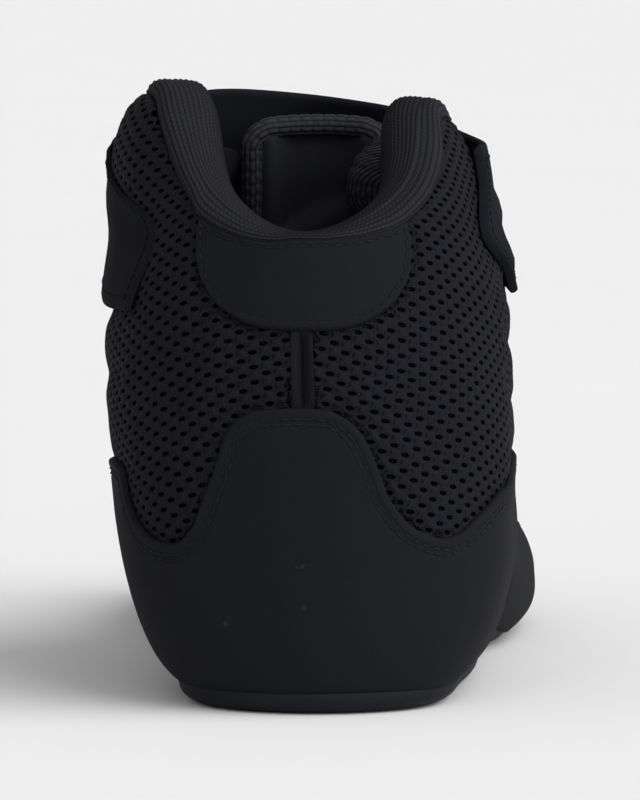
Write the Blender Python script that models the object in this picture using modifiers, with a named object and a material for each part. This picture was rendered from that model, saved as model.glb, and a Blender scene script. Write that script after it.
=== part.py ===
"""Boxing shoe for the right foot, standing empty, as separate solids in one collection.

Metres, +Z up, toe along +Y, outer side of the foot along +X, the sole on Z = 0.
The wall of the shoe is a set of ribs that rise from the sole's edge. Each rib is a cubic curve whose
ends and handles come from a row of RIBS, and the rows are joined round the foot by a smooth closed spline.
Stations count the rows anticlockwise from the toe: 0 toe, 5 inner waist, 10 heel, 15 outer waist.
"""
import math
from collections import namedtuple
from functools import lru_cache

import bmesh
import bpy
import numpy as np
from mathutils import Vector

MM = 0.001
WELD = 0.00002

# Driving sizes, in millimetres
LENGTH = 285.0
BALL_WIDTH = 100.0
COLLAR_HEIGHT = 140.0
WALL = 2.6
GAP = 0.45
SKIN = 1.2
OVERLAY_BASE = 4.0
OVERLAY_GAP = 0.6

# Sole
HEEL_SOLE = 4.8
FORE_SOLE = 4.6
SOLE_LIP = 1.4
ARCH_RISE = 3.0
ARCH_FROM, ARCH_TO = 82.0, 152.0
TOE_SPRING = 9.0
SPRING_FROM = 216.0
HEEL_CENTRE_Y, TOE_CENTRE_Y = 33.0, 238.0
HEEL_CENTRE_X, TOE_CENTRE_X = -0.5, -6.0

# Footbed
INSOLE_INSET = 4.2
INSOLE_THICK = 4.0

# Throat, tongue and lacing
RIDGE_ROWS = 6.0
TONGUE_THICK = 5.0
TONGUE_FROM, TONGUE_TO = 3.15, 6.0
TONGUE_HALF = 27.0
TONGUE_TOP_HALF = 21.0
TONGUE_SPREAD = 0.46
EYESTAY_WIDE = 19.0
LACE_PAIRS = 6
LACE_FROM, LACE_TO = 3.75, 5.66
LACE_THICK = 2.6
LACE_SETBACK = 8.0

# Ankle strap
STRAP_THICK = 2.4
STRAP_LOW_RING, STRAP_HIGH_RING = 96.0, 124.0

# Feather edge and crown of each rib. x and out are shares of BALL_WIDTH, y of LENGTH, z, up and down of
# COLLAR_HEIGHT. The low handle leaves the sole, the high handle comes into the crown.
Rib = namedtuple("Rib", "name foot_x foot_y top_x top_y top_z low_out low_up high_out high_down")
RIBS = (
    Rib("toe tip", -0.08, 0.990, -0.06, 0.863, 0.336, 0.10, 0.093, 0.24, 0.010),
    Rib("inner toe", -0.32, 0.944, -0.06, 0.842, 0.350, 0.12, 0.093, 0.27, 0.007),
    Rib("big toe", -0.44, 0.835, -0.05, 0.782, 0.379, 0.13, 0.086, 0.30, 0.007),
    Rib("inner ball", -0.45, 0.695, -0.04, 0.691, 0.432, 0.15, 0.090, 0.33, 0.007),
    Rib("inner vamp", -0.375, 0.554, -0.04, 0.589, 0.518, 0.18, 0.107, 0.35, 0.014),
    Rib("inner waist", -0.30, 0.421, -0.04, 0.491, 0.680, 0.215, 0.121, 0.40, 0.036),
    Rib("inner instep", -0.295, 0.323, -0.04, 0.4105, 0.964, 0.225, 0.114, 0.56, 0.130),
    Rib("inner corner", -0.312, 0.239, -0.420, 0.325, 0.979, 0.24, 0.086, 0.13, 0.170),
    Rib("inner ankle", -0.315, 0.150, -0.40, 0.211, 0.996, 0.230, 0.079, 0.14, 0.157),
    Rib("inner heel", -0.258, 0.053, -0.30, 0.095, 0.868, 0.17, 0.100, 0.12, 0.186),
    Rib("heel back", 0.0, 0.008, -0.03, 0.035, 0.771, 0.09, 0.129, 0.06, 0.229),
    Rib("outer heel", 0.262, 0.053, 0.24, 0.095, 0.857, 0.16, 0.100, 0.14, 0.186),
    Rib("outer ankle", 0.325, 0.150, 0.30, 0.211, 0.964, 0.22, 0.100, 0.18, 0.214),
    Rib("outer corner", 0.355, 0.239, 0.32, 0.325, 0.946, 0.195, 0.107, 0.165, 0.200),
    Rib("outer instep", 0.370, 0.323, -0.04, 0.4105, 0.964, 0.175, 0.121, 0.54, 0.130),
    Rib("outer waist", 0.395, 0.421, -0.04, 0.491, 0.680, 0.17, 0.114, 0.40, 0.036),
    Rib("outer vamp", 0.440, 0.554, -0.04, 0.589, 0.518, 0.17, 0.100, 0.35, 0.014),
    Rib("outer ball", 0.465, 0.695, -0.04, 0.691, 0.432, 0.17, 0.086, 0.33, 0.007),
    Rib("little toe", 0.390, 0.835, -0.05, 0.782, 0.379, 0.14, 0.086, 0.30, 0.007),
    Rib("outer toe", 0.200, 0.944, -0.06, 0.842, 0.350, 0.12, 0.093, 0.27, 0.007),
)

# Half opening of the throat along each rib, by stations from the toe
Throat = namedtuple("Throat", "station gap")
THROAT = (
    Throat(3.50, 0.0), Throat(3.60, 7.0), Throat(3.75, 10.5), Throat(4.25, 13.0), Throat(5.00, 15.0),
    Throat(6.00, 19.0), Throat(6.30, 15.0), Throat(6.60, 3.0), Throat(6.70, 0.0),
)

# Upper edge of the heel counter: distance up the wall from the sole, by stations from the heel
Edge = namedtuple("Edge", "station reach")
COUNTER_EDGE = (
    Edge(0.00, 67.5), Edge(0.20, 66.5), Edge(0.42, 57.5), Edge(0.60, 44.0), Edge(0.76, 37.0), Edge(0.95, 36.0),
    Edge(1.60, 43.0), Edge(2.60, 50.0), Edge(4.00, 54.0), Edge(5.20, 54.0),
)
# Upper edge of the toe rand, by stations from the toe
RAND_EDGE = (
    Edge(0.00, 34.0), Edge(1.00, 33.0), Edge(2.00, 28.0), Edge(3.00, 25.0), Edge(4.00, 28.0), Edge(4.75, 36.0),
)
# Lower edge of the heel tab: distance down from the collar seam, by stations from the heel
TAB_EDGE = (
    Edge(0.00, 19.5), Edge(0.40, 20.5), Edge(0.62, 20.5), Edge(0.76, 17.0), Edge(0.84, 11.0), Edge(0.86, 8.0),
)

# Section of the padded collar: outward from the wall's face, and above the wall's top edge
Roll = namedtuple("Roll", "out up")
ROLL = (
    Roll(-0.4, 0.8), Roll(0.9, 2.3), Roll(0.2, 4.4), Roll(-3.2, 6.2), Roll(-7.6, 5.6), Roll(-10.8, 2.4),
    Roll(-12.2, -4.0), Roll(-11.8, -13.0), Roll(-9.4, -24.0), Roll(-5.4, -33.0), Roll(-3.9, -33.5),
    Roll(-3.8, -16.0), Roll(-3.8, 0.8),
)
# Section of the outsole: inward from its edge, height from its underside, and share of the wall's height
Sole = namedtuple("Sole", "inset rise share")
SOLE_WALL = (
    Sole(9.0, 0.0, 0.0), Sole(3.6, 0.4, 0.0), Sole(1.2, 1.4, 0.0), Sole(0.2, 0.0, 0.60),
    Sole(0.0, 0.0, 0.86), Sole(0.7, 0.0, 1.0), Sole(9.0, 0.0, 1.0),
)

# The strap's edges and stand-off from the wall, by share of its length from the inner end to the outer end
Strap = namedtuple("Strap", "share low high lift")
STRAP = (
    Strap(-1.0, 92.0, 124.0, 0.8), Strap(-0.7, 94.5, 133.0, 2.0), Strap(-0.45, 98.0, 140.0, 6.2),
    Strap(-0.22, 101.5, 141.5, 9.9), Strap(0.0, 102.5, 140.0, 8.8), Strap(0.22, 101.5, 137.5, 10.1),
    Strap(0.45, 99.0, 135.5, 6.2), Strap(0.7, 97.0, 133.0, 2.4), Strap(1.0, 94.0, 131.0, 1.4),
)
# Stations at which the strap's ends stop, by share of its height
Tip = namedtuple("Tip", "share inner outer")
TIPS = (Tip(0.0, 7.85, 7.55), Tip(0.35, 8.15, 8.0), Tip(1.0, 7.55, 8.05))

# Colours, roughness
SLOTS = {
    "rubber": ((0.016, 0.017, 0.019), 0.62),
    "mesh": ((0.013, 0.0135, 0.016), 0.85),
    "suede": ((0.0125, 0.013, 0.015), 0.92),
    "knit": ((0.021, 0.022, 0.026), 0.9),
    "webbing": ((0.020, 0.020, 0.023), 0.7),
    "foam": ((0.012, 0.012, 0.013), 0.9),
    "cord": ((0.014, 0.014, 0.015), 0.8),
}


class ClosedSpline:
    """A smooth closed curve through rows of numbers at whole stations, with continuous curvature."""

    def __init__(self, rows):
        self.rows = np.array(rows, float)
        count = len(self.rows)
        one = np.eye(count)
        system = 4.0 * one + np.roll(one, 1, axis=1) + np.roll(one, -1, axis=1)
        bend = np.roll(self.rows, 1, axis=0) - 2.0 * self.rows + np.roll(self.rows, -1, axis=0)
        self.bends = np.linalg.solve(system, 6.0 * bend)
        before = self.rows - np.roll(self.rows, 1, axis=0)
        after = np.roll(self.rows, -1, axis=0) - self.rows
        total = np.where(before * after > 0.0, before + after, 1.0)
        self.slopes = np.where(before * after > 0.0, 2.0 * before * after / total, 0.0)

    def held(self, station):
        """The rows joined without overshoot."""
        low = math.floor(station)
        i, j = low % len(self.rows), (low + 1) % len(self.rows)
        b = station - low
        b2, b3 = b * b, b ** 3
        return ((2 * b3 - 3 * b2 + 1) * self.rows[i] + (b3 - 2 * b2 + b) * self.slopes[i]
                + (3 * b2 - 2 * b3) * self.rows[j] + (b3 - b2) * self.slopes[j])

    def at(self, station):
        low = math.floor(station)
        i, j = low % len(self.rows), (low + 1) % len(self.rows)
        b = station - low
        a = 1.0 - b
        bend = (a ** 3 - a) * self.bends[i] + (b ** 3 - b) * self.bends[j]
        return a * self.rows[i] + b * self.rows[j] + bend / 6.0


LAST = ClosedSpline([row[1:] for row in RIBS])
ROUND = len(RIBS)


def from_table(rows, column, where):
    """A column read between table rows, with level ends and no overshoot."""
    keys = [row[0] for row in rows]
    values = [getattr(row, column) for row in rows]
    if where <= keys[0]:
        return values[0]
    for k in range(len(rows) - 1):
        if where <= keys[k + 1]:
            share = (where - keys[k]) / (keys[k + 1] - keys[k])
            slopes = []
            for n in (k, k + 1):
                if 0 < n < len(rows) - 1:
                    before = (values[n] - values[n - 1]) / (keys[n] - keys[n - 1])
                    after = (values[n + 1] - values[n]) / (keys[n + 1] - keys[n])
                    slopes.append(0.0 if before * after <= 0 else 2 * before * after / (before + after))
                else:
                    slopes.append(0.0)
            step = keys[k + 1] - keys[k]
            s2, s3 = share * share, share ** 3
            return ((2 * s3 - 3 * s2 + 1) * values[k] + (s3 - 2 * s2 + share) * step * slopes[0]
                    + (3 * s2 - 2 * s3) * values[k + 1] + (s3 - s2) * step * slopes[1])
    return values[-1]


def smooth(low, high, value):
    share = min(1.0, max(0.0, (value - low) / (high - low)))
    return share * share * (3.0 - 2.0 * share)


def from_toe(station):
    """Stations from the toe, whichever side of the foot."""
    station = station % ROUND
    return min(station, ROUND - station)


def underside(y):
    """Height of the sole's underside: level heel and ball, raised arch, toe spring."""
    middle = 0.5 * (ARCH_FROM + ARCH_TO)
    arch = ARCH_RISE * smooth(ARCH_FROM, middle, y) * (1.0 - smooth(middle, ARCH_TO, y))
    spring = TOE_SPRING * (max(0.0, y - SPRING_FROM) / (LENGTH - SPRING_FROM)) ** 2
    return arch + spring


def sole_top(y):
    return underside(y) + HEEL_SOLE + (FORE_SOLE - HEEL_SOLE) * smooth(60.0, 190.0, y)


def feather(station):
    """The sole's edge in plan and the direction square to it, outward."""
    x, y = LAST.at(station)[:2] * (BALL_WIDTH, LENGTH)
    ahead = LAST.at(station + 0.01)[:2] * (BALL_WIDTH, LENGTH)
    along = ahead - (x, y)
    along /= np.linalg.norm(along)
    return np.array((x, y)), np.array((along[1], -along[0]))


def corner_share(near):
    """How far the crown is kept from overshooting its rows: fully at the front corners."""
    return smooth(3.6, 4.6, near) * (1.0 - smooth(7.4, 8.4, near))


@lru_cache(maxsize=None)
def handles(station):
    """The four points of a rib's cubic curve."""
    row = LAST.at(station)
    steady = corner_share(from_toe(station))
    row[2:] = (1.0 - steady) * row[2:] + steady * LAST.held(station)[2:]
    if from_toe(station) <= RIDGE_ROWS:
        other = (1.0 - steady) * LAST.at(ROUND - station) + steady * LAST.held(ROUND - station)
        row[2:5] = 0.5 * (row[2:5] + other[2:5])
    foot, out = feather(station)
    out = np.array((out[0], out[1], 0.0))
    up = np.array((0.0, 0.0, 1.0))
    low = np.array((foot[0], foot[1], sole_top(foot[1]) + 0.3))
    top = row[2:5] * (BALL_WIDTH, LENGTH, COLLAR_HEIGHT)
    low_handle = low + out * row[5] * BALL_WIDTH + up * row[6] * COLLAR_HEIGHT
    high_handle = top + out * row[7] * BALL_WIDTH - up * row[8] * COLLAR_HEIGHT
    return low, low_handle, high_handle, top


def along_rib(station, share):
    a, b, c, d = handles(station)
    rest = 1.0 - share
    return rest ** 3 * a + 3 * rest * rest * share * b + 3 * rest * share * share * c + share ** 3 * d


@lru_cache(maxsize=None)
def travel(station):
    """Shares along a rib and the distance travelled at each."""
    shares = np.linspace(0.0, 1.0, 41)
    points = np.array([along_rib(station, share) for share in shares])
    steps = np.linalg.norm(np.diff(points, axis=0), axis=1)
    return shares, np.concatenate(((0.0,), np.cumsum(steps)))


def rib_length(station):
    return travel(station)[1][-1]


def share_at(station, reach):
    shares, distances = travel(station)
    return float(np.interp(reach, distances, shares))


def facing(station, share):
    """Outward direction of the wall. On the vamp's ridge both sides are averaged."""
    share = min(0.995, max(0.005, share))
    round_foot = along_rib(station + 0.02, share) - along_rib(station - 0.02, share)
    upward = along_rib(station, share + 0.004) - along_rib(station, share - 0.004)
    normal = np.cross(round_foot, upward)
    return normal / np.linalg.norm(normal)


def wall(station, reach, lift=0.0):
    """A point on the wall a distance up its rib, stood off along the wall's outward direction."""
    length = rib_length(station)
    share = share_at(station, min(reach, length))
    point = along_rib(station, share)
    normal = facing(station, share)
    if share > 0.99 and from_toe(station) <= RIDGE_ROWS:
        other = facing(ROUND - station, share)
        normal = normal + other
        normal /= np.linalg.norm(normal)
    if reach > length:
        tangent = along_rib(station, 1.0) - along_rib(station, 0.98)
        point = point + tangent / np.linalg.norm(tangent) * (reach - length)
    return point + lift * normal


def edge_reach(station):
    """Distance up a rib at which the upper ends: at the crown, or short of it beside the throat."""
    return rib_length(station) - from_table(THROAT, "gap", from_toe(station))


def middle_by(station):
    """Middle of the sole between a rib and the one opposite, kept between the heel's centre and the toe's."""
    y = 0.5 * (feather(station)[0][1] + feather(ROUND - station)[0][1])
    y = min(TOE_CENTRE_Y, max(HEEL_CENTRE_Y, y))
    share = (y - HEEL_CENTRE_Y) / (TOE_CENTRE_Y - HEEL_CENTRE_Y)
    return np.array((HEEL_CENTRE_X + share * (TOE_CENTRE_X - HEEL_CENTRE_X), y))


def material(slot):
    if slot in bpy.data.materials:
        return bpy.data.materials[slot]
    colour, roughness = SLOTS[slot]
    made = bpy.data.materials.new(slot)
    made.use_nodes = True
    surface = made.node_tree.nodes["Principled BSDF"]
    surface.inputs["Base Color"].default_value = (*colour, 1.0)
    surface.inputs["Roughness"].default_value = roughness
    surface.inputs["Metallic"].default_value = 0.0
    return made


def grid(columns, rows, place):
    """An open grid whose points are set by place(u, v), with u and v from 0 to 1, welded where they meet."""
    mesh = bmesh.new()
    bmesh.ops.create_grid(mesh, x_segments=columns, y_segments=rows, size=0.5)
    for vert in mesh.verts:
        vert.co = Vector(place(vert.co.x + 0.5, vert.co.y + 0.5)) * MM
    bmesh.ops.remove_doubles(mesh, verts=mesh.verts, dist=WELD)
    bmesh.ops.dissolve_degenerate(mesh, edges=mesh.edges, dist=WELD)
    return mesh


def add(name, mesh, slot, holder, close=False, thick=0.0, side=1.0):
    """The mesh as a named object: capped when close, given a wall when thick."""
    if close:
        bmesh.ops.holes_fill(mesh, edges=[edge for edge in mesh.edges if edge.is_boundary])
        bmesh.ops.recalc_face_normals(mesh, faces=mesh.faces)
    data = bpy.data.meshes.new(name)
    mesh.to_mesh(data)
    mesh.free()
    for face in data.polygons:
        face.use_smooth = True
    data.materials.append(material(slot))
    made = bpy.data.objects.new(name, data)
    made.parent = holder
    bpy.context.scene.collection.children[COLLECTION].objects.link(made)
    if thick:
        shell = made.modifiers.new("wall", "SOLIDIFY")
        shell.thickness = thick * MM
        shell.offset = side
        shell.use_even_offset = True
        shell.use_quality_normals = True
    return made


COLLECTION = "boxing shoe"
RIB_STEPS = 4


def stations_by(u, first, last):
    return first + u * (last - first)


def make_outsole(holder):
    """Profile from the middle of the underside, round the edge, to the middle of the top."""
    profile = [None] + list(SOLE_WALL) + [None]

    def place(u, v):
        station = u * ROUND
        foot, out = feather(station)
        edge = foot + out * SOLE_LIP
        middle = middle_by(station)
        step = round(v * (len(profile) - 1))
        row = profile[step]
        if row is None:
            height = underside(middle[1]) if step == 0 else sole_top(middle[1])
            return middle[0], middle[1], height
        inward = middle - edge
        reach = np.linalg.norm(inward)
        x, y = edge + inward / reach * min(row.inset, 0.8 * reach)
        bottom = underside(y)
        return x, y, bottom + row.rise + row.share * (sole_top(y) - bottom)

    return add("outsole", grid(ROUND * RIB_STEPS, len(profile) - 1, place), "rubber", holder, close=True)


def make_insole(holder):
    """Footbed inside the wall, its rim turned up a little."""
    profile = ((None, 0.0), (INSOLE_INSET, 0.0), (INSOLE_INSET - 0.6, 2.0), (INSOLE_INSET, INSOLE_THICK),
               (INSOLE_INSET + 8.0, INSOLE_THICK - 0.8), (None, INSOLE_THICK - 1.0))

    def place(u, v):
        foot, out = feather(u * ROUND)
        middle = middle_by(u * ROUND)
        inset, rise = profile[round(v * (len(profile) - 1))]
        spot = middle if inset is None else foot - out * inset
        return spot[0], spot[1], sole_top(spot[1]) + GAP + rise

    return add("insole", grid(ROUND * RIB_STEPS, len(profile) - 1, place), "foam", holder, close=True)


def make_upper(holder):
    def place(u, v):
        station = u * ROUND
        return wall(station, v * edge_reach(station))

    return add("upper", grid(ROUND * RIB_STEPS, 10, place), "mesh", holder, thick=WALL, side=-1.0)


def make_collar(holder):
    """The padded roll, swept along the collar and thinned towards its two front ends."""
    first, last = 6.9, 13.0

    def place(u, v):
        station = stations_by(u, first, last)
        row = ROLL[round(v * len(ROLL)) % len(ROLL)]
        full = 0.45 + 0.55 * smooth(0.0, 0.10, min(u, 1.0 - u))
        inner = -WALL - 1.2
        out = row.out if row.out > inner else inner + (row.out - inner) * full
        return wall(station, rib_length(station) + row.up * (1.0 if row.up == ROLL[0].up else full), out)

    return add("collar_lining", grid(38, len(ROLL), place), "knit", holder, close=True)


def between(first, last, step=1.0 / RIB_STEPS):
    """The two ends and every whole step of the upper's ribs between them."""
    inside = np.arange(math.floor(first / step) + 1, math.ceil(last / step)) * step
    return [first, *inside, last]


def overlay(name, stations, low, high, rows, holder):
    """A skin that stands on the wall between two distances up each rib."""
    def place(u, v):
        station = stations[round(u * (len(stations) - 1))]
        bottom, top = low(station), high(station)
        return wall(station, bottom + v * (top - bottom), OVERLAY_GAP)

    return add(name, grid(len(stations) - 1, rows, place), "suede", holder, thick=SKIN, side=1.0)


def make_overlays(holder):
    heel = ROUND / 2

    def base(station):
        return OVERLAY_BASE

    def counter_top(station):
        return from_table(COUNTER_EDGE, "reach", abs(station - heel))

    def rand_top(station):
        return from_table(RAND_EDGE, "reach", from_toe(station))

    def seam(station):
        return rib_length(station) - 0.8

    def tab_low(station):
        return rib_length(station) - from_table(TAB_EDGE, "reach", abs(station - heel))

    fine = 0.5 / RIB_STEPS
    hump = between(heel - 1.25, heel + 1.25, fine)
    overlay("heel_counter", between(heel - 5.2, heel - 1.25)[:-1] + hump + between(heel + 1.25, heel + 5.2)[1:],
            base, counter_top, 6, holder)
    overlay("heel_tab", between(heel - 0.86, heel + 0.86, fine), tab_low, seam, 3, holder)
    overlay("toe_rand", between(-4.74, 4.74), base, rand_top, 4, holder)
    for name, first, last in (("eyestay_inner", 3.62, 6.6), ("eyestay_outer", ROUND - 6.6, ROUND - 3.62)):
        overlay(name, between(first, last), lambda s: edge_reach(s) - EYESTAY_WIDE, lambda s: edge_reach(s) - 1.2,
                3, holder)


def make_tongue(holder):
    """A padded sheet under the throat, from below the vamp to the top, both sides of the ridge."""
    def place(u, v):
        across = 2.0 * u - 1.0
        nearest = TONGUE_FROM + v * (TONGUE_TO - TONGUE_FROM)
        level = smooth(0.4, 1.0, v)
        nearest += TONGUE_SPREAD * abs(across) * level
        station = nearest if across <= 0 else ROUND - nearest
        offset = abs(handles(station)[3][0] - handles(RIDGE_ROWS)[3][0])
        half = TONGUE_HALF + level * (TONGUE_TOP_HALF - TONGUE_HALF)
        reach = rib_length(station) - max(0.0, abs(across) * half - offset)
        return wall(station, reach, -WALL - 1.2)

    return add("tongue", grid(10, 16, place), "mesh", holder, thick=TONGUE_THICK, side=1.0)


def nearest_at(height):
    """Station from the toe at which the crown reaches a height."""
    low, high = 3.0, RIDGE_ROWS
    for _ in range(30):
        middle = 0.5 * (low + high)
        if handles(middle)[3][2] < height:
            low = middle
        else:
            high = middle
    return 0.5 * (low + high)


def at_height(station, height):
    """Share along a rib at which it reaches a height."""
    low, high = 0.0, 1.0
    for _ in range(30):
        middle = 0.5 * (low + high)
        if along_rib(station, middle)[2] < height:
            low = middle
        else:
            high = middle
    return 0.5 * (low + high)


def ring(share, tip, height):
    """A level loop round the front of the ankle, and its outward direction, by share to either end."""
    start = nearest_at(height)
    near = start + abs(share) * (tip - start)
    station = near if share <= 0 else ROUND - near
    along = at_height(station, height)
    normal = facing(station, along)
    if abs(share) < 0.02:
        normal = normal + facing(ROUND - station, along)
    normal[2] = 0.0
    return along_rib(station, along), normal / np.linalg.norm(normal)


def strap_point(row, v):
    """A point of the strap where one of its table rows crosses a share of its height."""
    tip = from_table(TIPS, "inner" if row.share <= 0 else "outer", v)
    height = row.low + v * (row.high - row.low)
    below, below_out = ring(row.share, tip, STRAP_LOW_RING)
    above, above_out = ring(row.share, tip, STRAP_HIGH_RING)
    blend = (height - STRAP_LOW_RING) / (STRAP_HIGH_RING - STRAP_LOW_RING)
    out = below_out + above_out
    return below + blend * (above - below) + out / np.linalg.norm(out) * row.lift


@lru_cache(maxsize=None)
def strap_line(v):
    """The strap's table points at a share of its height, and their slopes along the strap."""
    keys = np.array([row.share for row in STRAP])
    points = np.array([strap_point(row, v) for row in STRAP])
    steps = np.diff(keys)[:, None]
    runs = np.diff(points, axis=0) / steps
    slopes = np.empty_like(points)
    slopes[1:-1] = (runs[:-1] * steps[1:] + runs[1:] * steps[:-1]) / (steps[1:] + steps[:-1])
    slopes[0] = 1.5 * runs[0] - 0.5 * slopes[1]
    slopes[-1] = 1.5 * runs[-1] - 0.5 * slopes[-2]
    return keys, points, slopes


def make_strap(holder):
    """A band ruled between two level loops round the ankle, its ends cut to their outlines."""
    def place(u, v):
        share = 2.0 * u - 1.0
        keys, points, slopes = strap_line(round(v, 6))
        k = min(len(keys) - 2, max(0, int(np.searchsorted(keys, share, side="right")) - 1))
        step = keys[k + 1] - keys[k]
        b = (share - keys[k]) / step
        b2, b3 = b * b, b ** 3
        return ((2 * b3 - 3 * b2 + 1) * points[k] + (b3 - 2 * b2 + b) * step * slopes[k]
                + (3 * b2 - 2 * b3) * points[k + 1] + (b3 - b2) * step * slopes[k + 1])

    return add("ankle_strap", grid(32, 4, place), "webbing", holder, thick=STRAP_THICK, side=-1.0)


def make_lace(holder):
    """Crossings between the lace holes and a bar across the lowest pair, joined as one solid."""
    lift = OVERLAY_GAP + SKIN + 0.75 + 0.5 * LACE_THICK
    levels = [LACE_FROM + k * (LACE_TO - LACE_FROM) / (LACE_PAIRS - 1) for k in range(LACE_PAIRS)]

    def run(start, end, side):
        """Points over the throat from a hole on one side to a hole on the other."""
        points = []
        for k in range(5):
            share = k / 4.0
            across = 1.0 - 2.0 * share
            level = start + share * (end - start)
            on_start = across >= 0
            station = level if (side < 0) == on_start else ROUND - level
            gap = from_table(THROAT, "gap", level) + LACE_SETBACK
            points.append(wall(station, rib_length(station) - abs(across) * gap, lift))
        return points

    runs = [run(levels[0], levels[0], -1)]
    for k in range(LACE_PAIRS - 1):
        runs += [run(levels[k], levels[k + 1], side) for side in (-1, 1)]
    tubes = []
    for k, points in enumerate(runs):
        curve = bpy.data.curves.new(f"lace run {k}", "CURVE")
        curve.dimensions = "3D"
        curve.bevel_depth = 0.5 * LACE_THICK * MM
        curve.bevel_resolution = 0
        curve.use_fill_caps = True
        line = curve.splines.new("POLY")
        line.points.add(len(points) - 1)
        for spot, point in zip(line.points, points):
            spot.co = (*(point * MM), 1.0)
        tubes.append(bpy.data.objects.new(f"lace run {k}", curve))
    for tube in tubes:
        bpy.context.scene.collection.objects.link(tube)
    graph = bpy.context.evaluated_depsgraph_get()
    solids = []
    for tube in tubes:
        data = bpy.data.meshes.new_from_object(tube.evaluated_get(graph))
        mesh = bmesh.new()
        mesh.from_mesh(data)
        bmesh.ops.remove_doubles(mesh, verts=mesh.verts, dist=WELD)
        bmesh.ops.recalc_face_normals(mesh, faces=mesh.faces)
        mesh.to_mesh(data)
        mesh.free()
        solids.append(data)
        bpy.data.objects.remove(tube)
    cutters = bpy.context.scene.collection.children[CUTTERS]
    lace = bpy.data.objects.new("lace", solids[0])
    lace.data.materials.append(material("cord"))
    lace.parent = holder
    bpy.context.scene.collection.children[COLLECTION].objects.link(lace)
    for k, data in enumerate(solids[1:]):
        other = bpy.data.objects.new(f"lace crossing {k}", data)
        other.display_type = "WIRE"
        other.hide_render = True
        other.parent = holder
        cutters.objects.link(other)
        join = lace.modifiers.new(f"crossing {k}", "BOOLEAN")
        join.operation = "UNION"
        join.solver = "EXACT"
        join.object = other
    return lace


CUTTERS = "boxing shoe cutters"


def centre(holder):
    """Move the whole shoe so that the middle of its box stands over the origin."""
    graph = bpy.context.evaluated_depsgraph_get()
    low, high = Vector((1e9, 1e9, 1e9)), Vector((-1e9, -1e9, -1e9))
    for made in bpy.context.scene.collection.children[COLLECTION].objects:
        if made.type != "MESH":
            continue
        data = made.evaluated_get(graph).data
        for vert in data.vertices:
            for axis in range(3):
                low[axis] = min(low[axis], vert.co[axis])
                high[axis] = max(high[axis], vert.co[axis])
    holder.location = (-0.5 * (low.x + high.x), -0.5 * (low.y + high.y), -low.z)


def main():
    for made in list(bpy.data.objects):
        bpy.data.objects.remove(made)
    for name in (COLLECTION, CUTTERS):
        bpy.context.scene.collection.children.link(bpy.data.collections.new(name))
    holder = bpy.data.objects.new("shoe", None)
    bpy.context.scene.collection.children[COLLECTION].objects.link(holder)
    make_outsole(holder)
    make_insole(holder)
    make_upper(holder)
    make_collar(holder)
    make_overlays(holder)
    make_tongue(holder)
    make_strap(holder)
    make_lace(holder)
    centre(holder)


main()
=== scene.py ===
"""Boxing shoe for the right foot: its looks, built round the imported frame."""

import logging
import math
from dataclasses import dataclass
from enum import Enum
from typing import Callable, NamedTuple, Optional, Sequence, Union

import bpy
import numpy as np
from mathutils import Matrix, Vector
from mathutils.bvhtree import BVHTree


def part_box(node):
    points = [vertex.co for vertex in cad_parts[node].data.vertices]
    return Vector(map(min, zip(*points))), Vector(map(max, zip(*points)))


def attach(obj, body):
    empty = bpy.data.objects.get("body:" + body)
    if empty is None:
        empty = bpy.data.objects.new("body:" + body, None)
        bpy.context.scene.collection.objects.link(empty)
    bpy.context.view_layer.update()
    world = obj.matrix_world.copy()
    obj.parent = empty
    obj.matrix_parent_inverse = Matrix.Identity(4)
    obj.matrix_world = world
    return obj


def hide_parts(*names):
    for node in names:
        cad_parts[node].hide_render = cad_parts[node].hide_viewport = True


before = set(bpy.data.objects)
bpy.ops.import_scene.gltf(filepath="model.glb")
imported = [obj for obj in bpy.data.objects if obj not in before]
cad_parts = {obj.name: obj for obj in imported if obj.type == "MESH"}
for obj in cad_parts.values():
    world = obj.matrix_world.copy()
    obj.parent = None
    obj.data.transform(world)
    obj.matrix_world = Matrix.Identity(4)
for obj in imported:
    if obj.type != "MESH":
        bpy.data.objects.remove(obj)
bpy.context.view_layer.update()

log = logging.getLogger("boxing_shoe")

MM = 0.001
WELD = 0.00002
BAKE_MAP = "OFBake"
ROOT = "root"
Array = np.ndarray
Object = bpy.types.Object
Number = Union[float, Array]


class Side(Enum):
    """The two sides of the foot."""

    INNER = "inner"
    OUTER = "outer"


# Measuring lines and the form of the foot


def smooth(low: float, high: float, value: Number) -> Number:
    """An even step from 0 at low to 1 at high."""
    share = np.clip((np.asarray(value, float) - low) / (high - low), 0.0, 1.0)
    return share * share * (3.0 - 2.0 * share)


def hermite(start: Number, leave: Number, end: Number, arrive: Number, b: Number) -> Number:
    """A cubic piece between two values with their slopes, at a share b."""
    b2, b3 = b * b, b ** 3
    return ((2 * b3 - 3 * b2 + 1) * start + (b3 - 2 * b2 + b) * leave + (3 * b2 - 2 * b3) * end
            + (b3 - b2) * arrive)


def unit(vectors: Array) -> Array:
    """Vectors brought to a length of 1."""
    return vectors / np.linalg.norm(vectors, axis=-1, keepdims=True)


def travel(path: Array) -> Array:
    """Distance gone along a path at each of its points."""
    return np.concatenate(((0.0,), np.cumsum(np.linalg.norm(np.diff(path, axis=0), axis=1))))


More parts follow.
